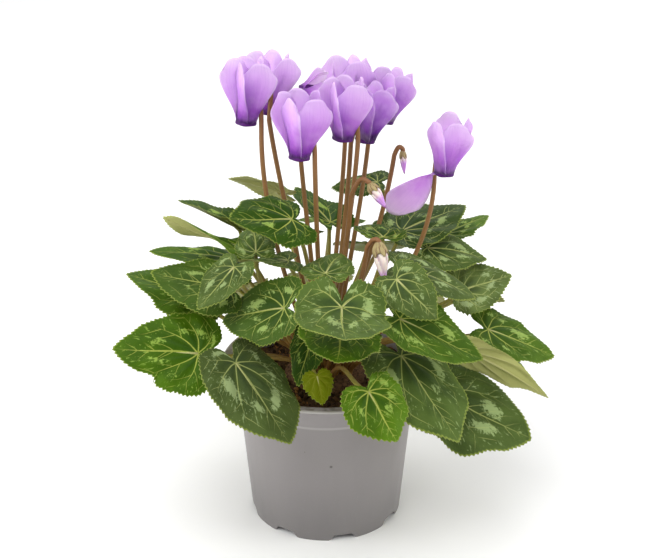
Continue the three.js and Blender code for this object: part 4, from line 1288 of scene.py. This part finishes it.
def add_crumb(soil, draws, edge):
    """A loose crumb, which lies somewhere on the soil within the edge."""
    angle, far = draws.uniform(0, tau), sqrt(draws.uniform(0.2, 1)) * (edge - 1.5)
    x, y = far * cos(angle), far * sin(angle)
    size = draws.uniform(*CRUMB_SIZES)
    middle = Vector((x, y, soil_height(x, y) + size * 0.2))
    stretch = Vector([draws.uniform(0.5, 1.5) * size for _ in range(3)])
    turn = Matrix.Rotation(draws.uniform(0, tau), 3, "Z")
    places = []
    for i in range(CRUMB_RINGS):
        level = pi * (i + 0.5) / CRUMB_RINGS
        for k in range(CRUMB_SIDES):
            around = tau * k / CRUMB_SIDES
            spot = Vector((sin(level) * cos(around), sin(level) * sin(around), cos(level)))
            spot *= draws.uniform(0.75, 1.15)
            places.append(middle + turn @ (spot * stretch))
    # These rings run downwards, so each face is turned over.
    faces = [face[:1] + face[:0:-1] for face in ring_faces(CRUMB_RINGS, CRUMB_SIDES)]
    pale = draws.random() ** 3
    soil.add(places, faces, look=(pale, 0, 0), material=1)


def make_soil(looks):
    """A lumpy disc of peat down to the pot's floor, and loose crumbs lying on it."""
    collar = POT_HEIGHT - COLLAR_DEPTH
    neck = collar - 0.5
    inside = BASE_RADIUS - WALL - 0.4
    slope = (BODY_TOP_RADIUS - BASE_RADIUS) / collar
    flare = (RIM_RADIUS - LIP_WIDTH - BODY_TOP_RADIUS) / COLLAR_DEPTH
    edge = inside + slope * neck + flare * (SOIL_LEVEL - neck)
    bottom = FLOOR_UNDERSIDE + WALL + 0.3
    profile = [(0, bottom), (inside + slope * bottom, bottom), (inside + slope * neck, neck)]
    profile += [(edge * (1 - i / SOIL_RINGS), SOIL_LEVEL) for i in range(SOIL_RINGS)]
    profile.append((0, SOIL_LEVEL))

    def lumpy(radius, height, angle):
        if height < SOIL_LEVEL:
            return radius, height
        lumps = soil_height(radius * cos(angle), radius * sin(angle))
        return radius, lumps - 1.2 * smooth(edge - 3, edge, radius)

    soil = Piece("soil_top", looks.soil, looks.crumbs)
    soil.add(*turned(profile, SOIL_SEGMENTS, lumpy))
    draws = random.Random(CRUMB_SEED)
    for _ in range(CRUMBS):
        add_crumb(soil, draws, edge)
    soil.make("soil", slot="soil")


def make_tuber(looks):
    """The round tuber, lumpy and corky, half above the soil."""
    r = TUBER_RADIUS
    profile = [(0, TUBER_BOTTOM), (r * 0.3, TUBER_BOTTOM + 0.4), (r * 0.6, TUBER_BOTTOM + 1.6),
               (r - 2, TUBER_BOTTOM + 5), (r, TUBER_BOTTOM + 10), (r - 0.6, TUBER_TOP - 3),
               (r - 2, TUBER_TOP - 1), (r - 4, TUBER_TOP - 0.2)]
    profile += [((r - 4) * (1 - i / 9), TUBER_TOP) for i in range(1, 10)]

    def lumpy(radius, height, angle):
        place = Vector((radius * cos(angle), radius * sin(angle), height))
        lump = 0.7 * noise.noise(place / 6) + 0.4 * noise.noise(place / 2)
        return radius * (1 + 0.02 * lump), height + lump

    tuber = Piece("tuber_crown", looks.tuber)
    tuber.add(*turned(profile, TUBER_SEGMENTS, lumpy))
    tuber.make("tuber", slot="tuber_skin")


# Stage

# Lights, in metres and watts: where each stands, what it is aimed at, its width and its power
LIGHTS = {"key": ((-0.4, -0.7, 1.5), (0, 0, 0.1), 1.5, 19.5),
          "left": ((-1.3, -0.2, 0.5), (0, 0, 0.08), 0.9, 7),
          "right": ((1.3, -0.25, 0.5), (0, 0, 0.08), 0.9, 8),
          "back": ((0.2, 1.0, 1.1), (0, 0, 0.12), 1.0, 8)}
SKY_STRENGTH = 0.5
FLOOR_RADIUS = 6


def add_light(name, place, target, size, power):
    data = bpy.data.lights.new(name, "AREA")
    data.shape = "DISK"
    data.size = size
    data.energy = power
    made = put(name, data)
    made.location = place
    made.rotation_euler = (Vector(target) - Vector(place)).to_track_quat("-Z", "Y").to_euler()


def make_camera():
    data = bpy.data.cameras.new("camera")
    data.sensor_width = SENSOR
    data.lens = SENSOR * FOCAL_PIXELS / PHOTO_WIDTH
    made = put("camera", data)
    made.location = Vector(EYE) * MM
    made.rotation_euler = (radians(90 - LOOKS_DOWN), 0, 0)
    bpy.context.scene.camera = made


def make_stage():
    """A pale floor, a white sky and soft lights."""
    bpy.context.scene.view_settings.view_transform = "Standard"
    sky = bpy.data.worlds.new("studio")
    sky.use_nodes = True
    sky.node_tree.nodes["Background"].inputs["Color"].default_value = (1, 1, 1, 1)
    sky.node_tree.nodes["Background"].inputs["Strength"].default_value = SKY_STRENGTH
    bpy.context.scene.world = sky
    g = Graph("floor_white", 0.8, 0.1)
    g.paint = g.mix(g.noise(300, 1), (0.9, 0.9, 0.9, 1), (0.93, 0.93, 0.93, 1))
    bpy.ops.mesh.primitive_circle_add(vertices=96, radius=FLOOR_RADIUS, fill_type="NGON")
    floor = bpy.context.object
    floor.name = "floor"
    floor.data.materials.append(g.done())
    for name, light in LIGHTS.items():
        add_light(name, *light)


def make_plant():
    looks = SimpleNamespace(
        leaf=leaf_material(), petiole=petiole_material(), scape=scape_material(),
        petal=petal_material(), mouth=mouth_material(), calyx=calyx_material(),
        bud=bud_material(), pot=pot_material(), soil=soil_material(), crumbs=crumb_material(),
        tuber=tuber_material())
    own_feet = [leaf for leaf in LEAVES if not leaf.joins]
    roots = crown_places([foot_wish(leaf.number, leaf.hub, 1) for leaf in own_feet]
                         + [foot_wish(flower.name, flower.mouth, 0.6) for flower in FLOWERS]
                         + [foot_wish(bud.name, bud.neck, 0.5) for bud in BUDS])
    make_pot(looks)
    make_soil(looks)
    make_tuber(looks)
    for main in own_feet:
        piece = Piece(f"blade_{main.number:02d}", looks.leaf, looks.petiole)
        for member in LEAVES:
            if main.number in (member.number, member.joins):
                blade = Blade(member)
                add_sheet(piece, blade)
                add_veins(piece, blade)
                add_ridges(piece, blade)
                add_petiole(piece, member, roots[main.number])
        piece.make(f"leaf_{main.number:02d}", slot="leaf")
    for flower in FLOWERS:
        make_flower(flower, roots[flower.name], looks)
    for bud in BUDS:
        make_bud(bud, roots[bud.name], looks)


make_camera()
make_stage()
make_plant()
